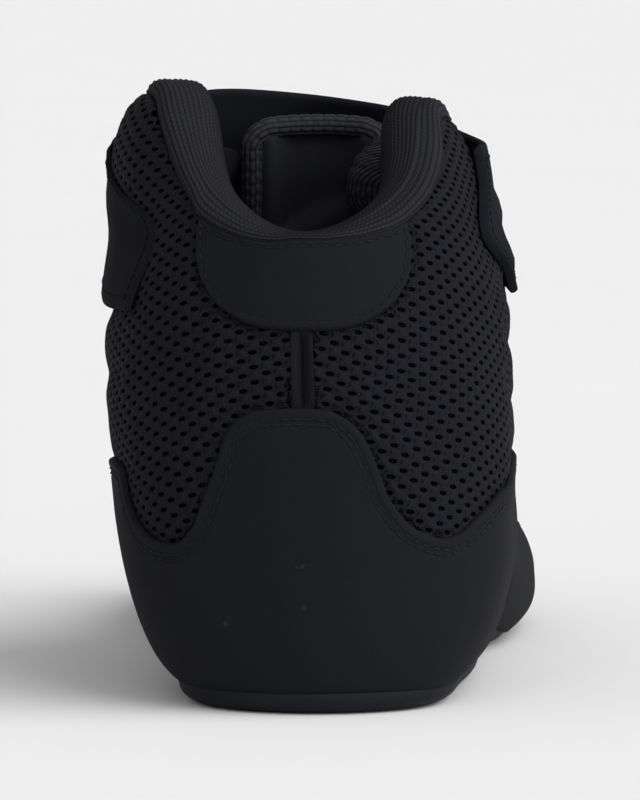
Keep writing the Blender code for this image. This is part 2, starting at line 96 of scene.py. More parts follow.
class Line:
    """A line given as rows of place and value, level at its ends and with no overshoot."""

    def __init__(self, *rows: tuple) -> None:
        """Keep the rows and the slope at each of them.

        Args:
            rows: Pairs of place and value, by rising place.
        """
        self.keys = np.array([row[0] for row in rows], float)
        self.values = np.array([row[1] for row in rows], float)
        runs = np.diff(self.values) / np.diff(self.keys)
        self.slopes = np.zeros(len(rows))
        before, after = runs[:-1], runs[1:]
        same = before * after > 0.0
        total = np.where(same, before + after, 1.0)
        self.slopes[1:-1] = np.where(same, 2.0 * before * after / total, 0.0)

    def at(self, where: Number) -> Array:
        """The value at one or many places.

        Args:
            where: The places.

        Returns:
            The values.
        """
        where = np.clip(np.asarray(where, float), self.keys[0], self.keys[-1])
        k = np.clip(np.searchsorted(self.keys, where, side="right") - 1, 0, len(self.keys) - 2)
        step = self.keys[k + 1] - self.keys[k]
        b = (where - self.keys[k]) / step
        leave, arrive = step * self.slopes[k], step * self.slopes[k + 1]
        return hermite(self.values[k], leave, self.values[k + 1], arrive, b)


# One rib of the last to a row: foot_x foot_y, top_x top_y top_z, low_out low_up, high_out high_down.
# x and out are shares of the ball's width, y of the length, z, up and down of the collar's height.
RIBS = (
    (-0.08, 0.990, -0.06, 0.863, 0.336, 0.10, 0.093, 0.24, 0.010),
    (-0.32, 0.944, -0.06, 0.842, 0.350, 0.12, 0.093, 0.27, 0.007),
    (-0.44, 0.835, -0.05, 0.782, 0.379, 0.13, 0.086, 0.30, 0.007),
    (-0.45, 0.695, -0.04, 0.691, 0.432, 0.15, 0.090, 0.33, 0.007),
    (-0.375, 0.554, -0.04, 0.589, 0.518, 0.18, 0.107, 0.35, 0.014),
    (-0.30, 0.421, -0.04, 0.491, 0.680, 0.215, 0.121, 0.40, 0.036),
    (-0.295, 0.323, -0.04, 0.4105, 0.964, 0.225, 0.114, 0.56, 0.130),
    (-0.312, 0.239, -0.420, 0.325, 0.979, 0.24, 0.086, 0.13, 0.170),
    (-0.315, 0.150, -0.40, 0.211, 0.996, 0.230, 0.079, 0.14, 0.157),
    (-0.258, 0.053, -0.30, 0.095, 0.868, 0.17, 0.100, 0.12, 0.186),
    (0.0, 0.008, -0.03, 0.035, 0.771, 0.09, 0.129, 0.06, 0.229),
    (0.262, 0.053, 0.24, 0.095, 0.857, 0.16, 0.100, 0.14, 0.186),
    (0.325, 0.150, 0.30, 0.211, 0.964, 0.22, 0.100, 0.18, 0.214),
    (0.355, 0.239, 0.32, 0.325, 0.946, 0.195, 0.107, 0.165, 0.200),
    (0.370, 0.323, -0.04, 0.4105, 0.964, 0.175, 0.121, 0.54, 0.130),
    (0.395, 0.421, -0.04, 0.491, 0.680, 0.17, 0.114, 0.40, 0.036),
    (0.440, 0.554, -0.04, 0.589, 0.518, 0.17, 0.100, 0.35, 0.014),
    (0.465, 0.695, -0.04, 0.691, 0.432, 0.17, 0.086, 0.33, 0.007),
    (0.390, 0.835, -0.05, 0.782, 0.379, 0.14, 0.086, 0.30, 0.007),
    (0.200, 0.944, -0.06, 0.842, 0.350, 0.12, 0.093, 0.27, 0.007),
)


class Last:
    """The form that the shoe is made on: ribs that rise from the sole's edge, by stations round the foot.

    Stations count anticlockwise from the toe: 5 inner waist, 10 heel, 15 outer waist. Lengths are in
    millimetres.
    """

    ROUND = 20
    HEEL = 10.0
    LENGTH, BALL_WIDTH, COLLAR_HEIGHT = 285.0, 100.0, 140.0
    RIDGE = 6.0
    GIRTH_LINE = 46.0
    SOLE_LIP = 1.4
    ARCH, ARCH_FROM, ARCH_MIDDLE, ARCH_TO = 3.0, 82.0, 117.0, 152.0
    TOE_SPRING, SPRING_FROM = 9.0, 216.0
    HEEL_SOLE, FORE_SOLE = 4.8, 4.6
    THROAT = Line((3.5, 0.0), (3.6, 7.0), (3.75, 10.5), (4.25, 13.0), (5.0, 15.0), (6.0, 19.0), (6.3, 15.0),
                  (6.6, 3.0), (6.7, 0.0))

    def __init__(self) -> None:
        """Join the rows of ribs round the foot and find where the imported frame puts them."""
        self.rows = np.array(RIBS, float)
        one = np.eye(self.ROUND)
        system = 4.0 * one + np.roll(one, 1, axis=1) + np.roll(one, -1, axis=1)
        bend = np.roll(self.rows, 1, axis=0) - 2.0 * self.rows + np.roll(self.rows, -1, axis=0)
        self.bends = np.linalg.solve(system, 6.0 * bend)
        before = self.rows - np.roll(self.rows, 1, axis=0)
        after = np.roll(self.rows, -1, axis=0) - self.rows
        total = np.where(before * after > 0.0, before + after, 1.0)
        self.slopes = np.where(before * after > 0.0, 2.0 * before * after / total, 0.0)
        self.shift = self._find_shift()
        self._lay_round()

    def _find_shift(self) -> Array:
        """Where the last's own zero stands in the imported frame, from the outsole's box, in millimetres.

        Returns:
            The shift as x, y and z.
        """
        foot, out = self.feather(np.arange(0.0, self.ROUND, 0.25))
        edge = foot + out * self.SOLE_LIP
        low, high = (np.array(corner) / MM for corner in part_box("outsole"))
        middle = 0.5 * (edge.min(axis=0) + edge.max(axis=0))
        return np.array((*(0.5 * (low + high)[:2] - middle), 0.0))

    def _lay_round(self) -> None:
        """Measure the way round the foot along a line part of the way up the wall."""
        self.round_stations = np.arange(-6.0, self.ROUND + 6.01, 0.05)
        ribs = Ribs(self, self.round_stations)
        points, _ = ribs.set_on(np.full((len(self.round_stations), 1), self.GIRTH_LINE), 0.0)
        self.round_distances = travel(points[:, 0])

    def around(self, station: Number) -> Array:
        """Distance round the foot at stations."""
        return np.interp(station, self.round_stations, self.round_distances)

    def station_at(self, distance: Number) -> Array:
        """Stations at distances round the foot."""
        return np.interp(distance, self.round_distances, self.round_stations)

    def from_toe(self, station: Number) -> Array:
        """Stations from the toe, whichever side of the foot."""
        turned = np.mod(station, self.ROUND)
        return np.minimum(turned, self.ROUND - turned)

    def _mixed(self, station: Array) -> tuple[Array, Array]:
        """The rows at stations: as one smooth curve, and with the crown kept from overshooting.

        Args:
            station: The stations.

        Returns:
            Both sets of rows.
        """
        low = np.floor(station).astype(int)
        i, j = low % self.ROUND, (low + 1) % self.ROUND
        b = (station - low)[:, None]
        a = 1.0 - b
        bend = (a ** 3 - a) * self.bends[i] + (b ** 3 - b) * self.bends[j]
        curve = a * self.rows[i] + b * self.rows[j] + bend / 6.0
        held = hermite(self.rows[i], self.slopes[i], self.rows[j], self.slopes[j], b)
        near = self.from_toe(station)
        steady = (smooth(3.6, 4.6, near) * (1.0 - smooth(7.4, 8.4, near)))[:, None]
        return curve, (1.0 - steady) * curve + steady * held

    def feather(self, station: Array) -> tuple[Array, Array]:
        """The sole's edge in plan and the direction square to it, outward.

        Args:
            station: The stations.

        Returns:
            Places and directions, each n by 2.
        """
        scale = (self.BALL_WIDTH, self.LENGTH)
        foot = self._mixed(station)[0][:, :2] * scale
        along = unit(self._mixed(station + 0.01)[0][:, :2] * scale - foot)
        return foot, np.stack((along[:, 1], -along[:, 0]), axis=1)

    def underside(self, y: Number) -> Array:
        """Height of the sole's underside: level heel and ball, raised arch, toe spring.

        Args:
            y: Distances from the heel.

        Returns:
            The heights.
        """
        arch = smooth(self.ARCH_FROM, self.ARCH_MIDDLE, y) * (1.0 - smooth(self.ARCH_MIDDLE, self.ARCH_TO, y))
        ahead = np.maximum(0.0, np.asarray(y) - self.SPRING_FROM) / (self.LENGTH - self.SPRING_FROM)
        return self.ARCH * arch + self.TOE_SPRING * ahead ** 2

    def sole_top(self, y: Number) -> Array:
        """Height of the sole's upper face."""
        return self.underside(y) + self.HEEL_SOLE + (self.FORE_SOLE - self.HEEL_SOLE) * smooth(60.0, 190.0, y)

    def middle_by(self, station: Array) -> Array:
        """Middle of the sole between a rib and the one opposite.

        Args:
            station: The ribs' stations.

        Returns:
            Places in plan, n by 2.
        """
        y = 0.5 * (self.feather(station)[0][:, 1] + self.feather(self.ROUND - station)[0][:, 1])
        y = np.clip(y, 33.0, 238.0)
        return np.stack((-0.5 - 5.5 * (y - 33.0) / 205.0, y), axis=1)

    def handles(self, station: Array) -> Array:
        """The four points of each rib's cubic curve, as an array of stations by 4 by 3.

        Args:
            station: The ribs' stations.

        Returns:
            The points.
        """
        row = self._mixed(station)[1].copy()
        other = self._mixed(self.ROUND - station)[1]
        ridge = self.from_toe(station) <= self.RIDGE
        row[ridge, 2:5] = 0.5 * (row + other)[ridge, 2:5]
        foot, out = self.feather(station)
        out = np.concatenate((out, np.zeros((len(out), 1))), axis=1)
        up = np.array((0.0, 0.0, 1.0))
        low = np.concatenate((foot, self.sole_top(foot[:, 1])[:, None] + 0.3), axis=1)
        top = row[:, 2:5] * (self.BALL_WIDTH, self.LENGTH, self.COLLAR_HEIGHT)
        wide, tall = self.BALL_WIDTH, self.COLLAR_HEIGHT
        low_handle = low + out * row[:, 5:6] * wide + up * row[:, 6:7] * tall
        high_handle = top + out * row[:, 7:8] * wide - up * row[:, 8:9] * tall
        return np.stack((low, low_handle, high_handle, top), axis=1)

    def length(self, station: Number) -> Array:
        """Length of the ribs from the sole to the crown."""
        return Ribs(self, np.atleast_1d(np.asarray(station, float))).length

    def edge(self, station: Number) -> Array:
        """Distance up the ribs at which the upper ends: at the crown, or short of it beside the throat."""
        return self.length(station) - self.THROAT.at(self.from_toe(np.atleast_1d(station)))

    def fullness(self, station: Number, reach: Number) -> Array:
        """How far the stuffed wall stands off the ribs: full at inner ankle and ball, slack at the waist.

        Args:
            station: The stations.
            reach: Distances up the ribs.

        Returns:
            The stand-off.
        """
        turned = np.mod(station, self.ROUND)
        ankle = smooth(6.9, 7.5, turned) * (1.0 - smooth(8.25, 8.9, turned))
        ankle = ankle * smooth(108.0, 132.0, reach) * (1.0 - 0.5 * smooth(138.0, 146.0, reach))
        waist = smooth(11.4, 12.2, turned) * (1.0 - smooth(13.6, 14.4, turned))
        waist = waist * smooth(30.0, 46.0, reach) * (1.0 - smooth(72.0, 92.0, reach))
        ball = smooth(14.9, 15.9, turned) * (1.0 - smooth(17.0, 18.2, turned))
        ball = ball * (1.5 * (1.0 - smooth(3.0, 12.0, reach)) + 0.6 * (1.0 - smooth(12.0, 27.0, reach)))
        return 3.9 * ankle - 1.3 * waist + ball

    def on_wall(self, station: Array, reach: Array, lift: Number = 0.0) -> tuple[Array, Array]:
        """Points and outward directions on the wall for a list of stations and distances up their ribs.

        Args:
            station: The stations.
            reach: Distances up the ribs.
            lift: Stand-off.

        Returns:
            Points and directions, each n by 3.
        """
        ribs = Ribs(self, np.asarray(station, float))
        points, normals = ribs.set_on(np.asarray(reach, float)[:, None], np.reshape(lift, (-1, 1)))
        return points[:, 0], normals[:, 0]

    def plane(self, station: Array, reach: Array) -> Array:
        """Places on the wall laid flat: distance round the foot and distance up the rib."""
        return np.stack(np.broadcast_arrays(self.around(station), reach), axis=-1)


class Ribs:
    """The last's ribs at a row of stations."""

    STEPS = np.linspace(0.0, 1.0, 65)

    def __init__(self, last: Last, station: Array) -> None:
        """Work out the ribs' curves and how far each travels.

        Args:
            last: The form of the foot.
            station: The stations, one to a rib.
        """
        self.last = last
        self.station = station
        self.curve = last.handles(station)
        self.ahead, self.behind = last.handles(station + 0.02), last.handles(station - 0.02)
        points = self.along(self.curve, np.broadcast_to(self.STEPS, (len(station), len(self.STEPS))))
        steps = np.linalg.norm(np.diff(points, axis=1), axis=2)
        self.travel = np.concatenate((np.zeros((len(station), 1)), np.cumsum(steps, axis=1)), axis=1)
        self.length = self.travel[:, -1]

    @staticmethod
    def along(curve: Array, share: Array) -> Array:
        """Points on each curve at its own row of shares.

        Args:
            curve: The curves' points, n by 4 by 3.
            share: Shares, n by rows.

        Returns:
            Points, n by rows by 3.
        """
        share = share[..., None]
        rest = 1.0 - share
        a, b, c, d = (curve[:, k][:, None] for k in range(4))
        return rest ** 3 * a + 3 * rest ** 2 * share * b + 3 * rest * share ** 2 * c + share ** 3 * d

    def share_at(self, reach: Array) -> Array:
        """Shares along the ribs at distances up them."""
        return np.stack([np.interp(row, far, self.STEPS) for row, far in zip(reach, self.travel)])

    def share_at_height(self, height: float) -> Array:
        """Share along each rib at which it reaches a height.

        Args:
            height: The height.

        Returns:
            One share to a rib.
        """
        low, high = np.zeros(len(self.station)), np.ones(len(self.station))
        for _ in range(30):
            middle = 0.5 * (low + high)
            below = self.along(self.curve, middle[:, None])[:, 0, 2] < height
            low, high = np.where(below, middle, low), np.where(below, high, middle)
        return 0.5 * (low + high)

    def facing(self, share: Array) -> Array:
        """Outward directions of the wall.

        Args:
            share: Shares along the ribs, ribs by rows.

        Returns:
            Directions, ribs by rows by 3.
        """
        share = np.clip(share, 0.005, 0.995)
        around = self.along(self.ahead, share) - self.along(self.behind, share)
        upward = self.along(self.curve, share + 0.004) - self.along(self.curve, share - 0.004)
        return unit(np.cross(around, upward))

    def set_on(self, reach: Array, lift: Number) -> tuple[Array, Array]:
        """Points on the wall, stood off along its outward directions, and those directions.

        Args:
            reach: Distances up the ribs, ribs by rows.
            lift: Stand-off, one for all or one for each.

        Returns:
            The points and the directions, each ribs by rows by 3.
        """
        length = self.length[:, None]
        share = self.share_at(np.minimum(reach, length))
        points = self.along(self.curve, share)
        normals = self.facing(share)
        crest = (share > 0.99) & (self.last.from_toe(self.station) <= self.last.RIDGE)[:, None]
        if crest.any():
            mirrored = Ribs.__new__(Ribs)
            twin = self.last.ROUND - self.station
            mirrored.curve = self.last.handles(twin)
            mirrored.ahead, mirrored.behind = self.last.handles(twin + 0.02), self.last.handles(twin - 0.02)
            both = unit(normals + mirrored.facing(share))
            normals = np.where(crest[..., None], both, normals)
        ones = np.ones((len(self.station), 1))
        tip = unit(self.along(self.curve, ones) - self.along(self.curve, 0.98 * ones))
        points = points + np.maximum(0.0, reach - length)[..., None] * tip
        return points + np.broadcast_to(lift, reach.shape)[..., None] * normals, normals


def distance_to(path: Array, spots: Array) -> Array:
    """Least distance in the flat from each spot to a path, both as rows of two numbers.

    Args:
        path: The path.
        spots: The spots.

    Returns:
        One distance to a spot.
    """
    shape, spots = spots.shape[:-1], spots.reshape(-1, 2)
    best = np.full(len(spots), np.inf)
    for start, end in zip(path[:-1], path[1:]):
        step = end - start
        along = np.clip((spots - start) @ step / max(step @ step, 1e-12), 0.0, 1.0)
        away = spots - start - along[:, None] * step
        best = np.minimum(best, away[:, 0] ** 2 + away[:, 1] ** 2)
    return np.sqrt(best).reshape(shape)


def spread(path: Array, pitch: float) -> Array:
    """A path read again at even steps of about the pitch.

    Args:
        path: The path, in any number of columns.
        pitch: The step.

    Returns:
        The new path.
    """
    far = travel(path)
    count = max(2, int(round(far[-1] / pitch)) + 1)
    marks = np.linspace(0.0, far[-1], count)
    return np.stack([np.interp(marks, far, path[:, k]) for k in range(path.shape[1])], axis=1)


def beside(path: Array, offset: float) -> Array:
    """A flat path moved square to itself, to the right of its run."""
    step = unit(np.gradient(path, axis=0))
    return path + offset * np.stack((step[:, 1], -step[:, 0]), axis=1)


# Finishes


class Wire:
    """A value in a material's node tree, with sums written as in arithmetic."""

    def __init__(self, dye: "Dye", socket: bpy.types.NodeSocket) -> None:
        """Hold the socket and the material it belongs to."""
        self.dye = dye
        self.socket = socket

    def _sum(self, operation: str, first: object, second: object = 0.0) -> "Wire":
        """One Math node."""
        return self.dye.node("ShaderNodeMath", {"operation": operation}, {0: first, 1: second})

    def __add__(self, other: object) -> "Wire":
        """Sum."""
        return self._sum("ADD", self, other)

    def __radd__(self, other: object) -> "Wire":
        """Sum, from the right."""
        return self._sum("ADD", other, self)

    def __sub__(self, other: object) -> "Wire":
        """Difference."""
        return self._sum("SUBTRACT", self, other)

    def __rsub__(self, other: object) -> "Wire":
        """Difference, from the right."""
        return self._sum("SUBTRACT", other, self)

    def __mul__(self, other: object) -> "Wire":
        """Product."""
        return self._sum("MULTIPLY", self, other)

    def __rmul__(self, other: object) -> "Wire":
        """Product, from the right."""
        return self._sum("MULTIPLY", other, self)

    def __truediv__(self, other: object) -> "Wire":
        """Quotient."""
        return self._sum("DIVIDE", self, other)

    def __pow__(self, other: object) -> "Wire":
        """Power."""
        return self._sum("POWER", self, other)

    def fold(self) -> "Wire":
        """Distance from the middle of each unit cell, from minus a half to a half."""
        return self._sum("FRACT", self) - 0.5

    def sine(self) -> "Wire":
        """Sine."""
        return self._sum("SINE", self)

    def size(self) -> "Wire":
        """Value without its sign."""
        return self._sum("ABSOLUTE", self)

    def least(self, other: object) -> "Wire":
        """The smaller of two."""
        return self._sum("MINIMUM", self, other)

    def most(self, other: object) -> "Wire":
        """The larger of two."""
        return self._sum("MAXIMUM", self, other)

    def step(self, low: float, high: float) -> "Wire":
        """An even step from 0 at low to 1 at high.

        Args:
            low: Where it starts.
            high: Where it ends.

        Returns:
            The step.
        """
        settings = {"interpolation_type": "SMOOTHSTEP"}
        values = {"Value": self, "From Min": low, "From Max": high, "To Min": 0.0, "To Max": 1.0}
        return self.dye.node("ShaderNodeMapRange", settings, values)


class Dye:
    """A material in the making: its node tree, the surface at its end, and ways to add to it."""

    def __init__(self, name: str, roughness: float, gloss: float) -> None:
        """Start a material.

        Args:
            name: The finish's name.
            roughness: Roughness all over.
            gloss: Specular level all over.
        """
        self.material = bpy.data.materials.new(name)
        self.material.use_nodes = True
        self.tree = self.material.node_tree
        self.surface = self.tree.nodes["Principled BSDF"]
        self.surface.inputs["Roughness"].default_value = roughness
        self.surface.inputs["Specular IOR Level"].default_value = gloss
        self.surface.inputs["Metallic"].default_value = 0.0

    def node(self, kind: str, settings: dict, sockets: dict, output: Union[int, str] = 0) -> Wire:
        """Add a node.

        Args:
            kind: The node's type.
            settings: Its own settings, set before its sockets.
            sockets: Values or wires by socket name or number.
            output: The output to read.

        Returns:
            The output as a wire.
        """
        made = self.tree.nodes.new(kind)
        for name, value in settings.items():
            setattr(made, name, value)
        for name, value in sockets.items():
            if isinstance(value, Wire):
                self.tree.links.new(value.socket, made.inputs[name])
            else:
                made.inputs[name].default_value = value
        return Wire(self, made.outputs[output])

    def place(self) -> Wire:
        """Place on the piece, in metres."""
        return self.node("ShaderNodeTexCoord", {}, {}, "Object")

    def cloth(self) -> tuple[Wire, Wire]:
        """Distances along and across the cloth, in millimetres, from the piece's own map.

        Returns:
            The two distances.
        """
        spot = self.node("ShaderNodeUVMap", {"uv_map": "cloth"}, {})
        across = self.node("ShaderNodeSeparateXYZ", {}, {0: spot}, "X")
        up = self.node("ShaderNodeSeparateXYZ", {}, {0: spot}, "Y")
        return across / MM, up / MM

    def noise(self, where: Wire, scale: float, detail: float = 2.0, rough: float = 0.5) -> Wire:
        """Soft uneven values from 0 to 1."""
        values = {"Vector": where, "Scale": scale, "Detail": detail, "Roughness": rough}
        return self.node("ShaderNodeTexNoise", {}, values, 0)

    def blend(self, factor: Wire, first: Union[Wire, Sequence[float]], second: Sequence[float]) -> Wire:
        """A colour between two by a factor. The first may itself vary."""
        start = first if isinstance(first, Wire) else (*first, 1.0)
        return self.node("ShaderNodeMix", {"data_type": "RGBA"}, {0: factor, 6: start, 7: (*second, 1.0)}, 2)

    def paint(self, base: Wire) -> None:
        """Give the surface a colour that varies."""
        self.tree.links.new(base.socket, self.surface.inputs["Base Color"])

    def colour(self, factor: Wire, first: Sequence[float], second: Sequence[float]) -> None:
        """Colour the surface between two colours by a factor."""
        self.paint(self.blend(factor, first, second))

    def rough(self, value: Wire) -> None:
        """Let the roughness vary."""
        self.tree.links.new(value.socket, self.surface.inputs["Roughness"])

    def relief(self, height: Wire, depth: float) -> None:
        """Raise the surface by a height of 0 to 1 over a depth in millimetres.

        Args:
            height: The height.
            depth: The depth.
        """
        values = {"Strength": 1.0, "Distance": depth * MM, "Height": height}
        bump = self.node("ShaderNodeBump", {}, values, "Normal")
        self.tree.links.new(bump.socket, self.surface.inputs["Normal"])


@dataclass(frozen=True)
class MeshCloth:
    """Spacer mesh: staggered oval holes in a net of raised threads, with painted shade in the holes."""

    name: str = "spacer mesh"
    pitch_wide: float = 5.6
    pitch_tall: float = 3.6
    hole_wide: float = 1.16
    hole_tall: float = 0.62
    threads: float = 3.0
    thread: tuple = (0.0080, 0.0083, 0.0122)
    # hollow: painted shade, the dark tone painted inside each hole
    hollow: tuple = (0.0034, 0.0036, 0.0053)

    def material(self) -> bpy.types.Material:
        """Make the finish.

        Returns:
            The material.
        """
        dye = Dye(self.name, 0.8, 0.09)
        place = dye.place()
        across, up = dye.cloth()
        a, b = across / self.pitch_wide, up / self.pitch_tall
        near = self._oval(a, b).least(self._oval(a + 0.5, b + 0.5))
        net = near.step(0.3, 1.4)
        turn = 2.0 * math.pi * self.threads
        weave = ((a + b) * turn).sine() * ((a - b) * turn).sine()
        fibre = dye.noise(place, 2600.0, 2.0)
        patch = dye.noise(place, 55.0, 2.0)
        shade = net * (0.60 + fibre * 0.40 + weave * 0.13) * (0.7 + patch * 0.6)
        # Painted shade: the holes take the dark hollow tone, the threads round them the thread tone.
        dye.colour(shade, self.hollow, self.thread)
        dye.relief(fibre * 0.08 + weave * 0.07, 0.75)
        return dye.material

    def _oval(self, a: Wire, b: Wire) -> Wire:
        """Distance from the middle of the nearest hole of one set, 1 at its rim.

        Args:
            a: Place along the cloth in pitches.
            b: Place across it in pitches.

        Returns:
            The distance.
        """
        wide = a.fold() * (self.pitch_wide / self.hole_wide)
        tall = b.fold() * (self.pitch_tall / self.hole_tall)
        return (wide * wide + tall * tall) ** 0.5


@dataclass(frozen=True)
class Suede:
    """Matte sheet with a fine nap, faint scuffs and a few pale specks of lint."""

    name: str = "suede"
    nap: tuple = (0.0049, 0.0053, 0.0074)
    light: tuple = (0.0092, 0.0097, 0.0127)
    lint: tuple = (0.034, 0.033, 0.035)
    specks: tuple = ()

    def material(self) -> bpy.types.Material:
        """Make the finish.

        Returns:
            The material.
        """
        dye = Dye(self.name, 0.9, 0.12)
        place = dye.place()
        grain = dye.noise(place, 1900.0, 3.0, 0.65)
        cloud = dye.noise(place, 38.0, 3.0)
        base = dye.blend(grain * 0.55 + cloud * 0.55 - 0.05, self.nap, self.light)
        if self.specks:
            lint = None
            settings = {"operation": "DISTANCE"}
            for *spot, size in self.specks:
                away = dye.node("ShaderNodeVectorMath", settings, {0: place, 1: spot}, "Value")
                mark = 1.0 - (away / (size * MM)).step(0.0, 1.3)
                lint = mark if lint is None else lint.most(mark)
            fluff = lint * (0.35 + dye.noise(place, 1500.0, 1.0) * 0.9)
            base = dye.blend(fluff, base, self.lint)
        dye.paint(base)
        dye.relief(grain, 0.10)
        return dye.material


@dataclass(frozen=True)
class RibKnit:
    """Knit whose fine ribs run the length of the cloth, each a row of loops."""

    name: str = "rib knit"
    rib: float = 1.05
    loop: float = 1.4
    valley: tuple = (0.0085, 0.0088, 0.0108)
    crest: tuple = (0.0225, 0.0230, 0.0275)

    def material(self) -> bpy.types.Material:
        """Make the finish.

        Returns:
            The material.
        """
        dye = Dye(self.name, 0.85, 0.08)
        place = dye.place()
        along, over = dye.cloth()
        row = over / self.rib
        stagger = (row * 0.5).fold().step(-0.02, 0.02) * 0.5
        ridge = 1.0 - (row.fold() * 2.0).size() ** 2.0
        loops = 1.0 - ((along / self.loop + stagger).fold() * 2.0).size() ** 2.0
        height = ridge * (0.45 + loops * 0.55)
        fibre = dye.noise(place, 3000.0, 2.0)
        dye.colour(height * 0.85 + fibre * 0.2 - 0.05, self.valley, self.crest)
        dye.relief(height + fibre * 0.08, 0.36)
        return dye.material


@dataclass(frozen=True)
class Weave:
    """Plain woven cloth, for the lining, footbed, tongue, back seam and lace."""

    name: str = "lining"
    thread: float = 0.7
    dark: tuple = (0.005, 0.005, 0.006)
    light: tuple = (0.014, 0.0142, 0.016)
    depth: float = 0.12

    def material(self) -> bpy.types.Material:
        """Make the finish.

        Returns:
            The material.
        """
        dye = Dye(self.name, 0.9, 0.1)
        place = dye.place()
        along, over = dye.cloth()
        turn = 2.0 * math.pi / self.thread
        weave = (along * turn).sine() * (over * turn).sine() * 0.5 + 0.5
        cloud = dye.noise(place, 50.0, 2.0)
        dye.colour(weave * 0.6 + cloud * 0.5 - 0.05, self.dark, self.light)
        dye.relief(weave + dye.noise(place, 2500.0, 1.0) * 0.3, self.depth)
        return dye.material


@dataclass(frozen=True)
class StrapCloth:
    """Smooth strap face with a faint fleece grain, and a flat tone of painted shade on its inner face."""

    name: str = "strap cloth"
    dark: tuple = (0.0055, 0.0058, 0.0080)
    light: tuple = (0.0118, 0.0123, 0.0158)
    # inside: painted shade, a flat tone for the inner face of the loop
    inside: tuple = (0.0100, 0.0105, 0.0138)
    face: float = 44.0

    def material(self) -> bpy.types.Material:
        """Make the finish.

        Returns:
            The material.
        """
        dye = Dye(self.name, 0.9, 0.03)
        place = dye.place()
        grain = dye.noise(place, 2200.0, 2.0)
        cloud = dye.noise(place, 45.0, 2.0)
        outside = dye.blend(grain * 0.45 + cloud * 0.6 - 0.02, self.dark, self.light)
        # Painted shade: the inner face of the loop, below face on the chart, takes the flat inside tone.
        painted_shade_inner = 1.0 - dye.cloth()[1].step(self.face, self.face + 1.0)
        dye.paint(dye.blend(painted_shade_inner, outside, self.inside))
        dye.relief(grain, 0.07)
        return dye.material


@dataclass(frozen=True)
class SoleRubber:
    """Moulded rubber, matte, with fine dust along it."""

    name: str = "sole rubber"
    dark: tuple = (0.0078, 0.0083, 0.0110)
    light: tuple = (0.0160, 0.0166, 0.0205)

    def material(self) -> bpy.types.Material:
        """Make the finish.

        Returns:
            The material.
        """
        dye = Dye(self.name, 0.6, 0.05)
        place = dye.place()
        grain = dye.noise(place, 900.0, 3.0, 0.6)
        cloud = dye.noise(place, 60.0, 3.0)
        dye.colour(cloud * 0.7 + grain * 0.4 - 0.05, self.dark, self.light)
        dye.rough(0.48 + cloud * 0.25)
        dye.relief(grain, 0.05)
        return dye.material


@dataclass(frozen=True)
class Thread:
    """Twisted sewing thread."""

    name: str = "thread"
    dark: tuple = (0.0050, 0.0052, 0.0066)
    light: tuple = (0.0125, 0.0128, 0.0150)
    gloss: float = 0.12

    def material(self) -> bpy.types.Material:
        """Make the finish.

        Returns:
            The material.
        """
        dye = Dye(self.name, 0.7, self.gloss)
        place = dye.place()
        twist = dye.noise(place, 1800.0, 1.0)
        dye.colour(twist, self.dark, self.light)
        dye.relief(twist, 0.08)
        return dye.material


Finish = Union[MeshCloth, Suede, RibKnit, Weave, StrapCloth, SoleRubber, Thread]


# The bench


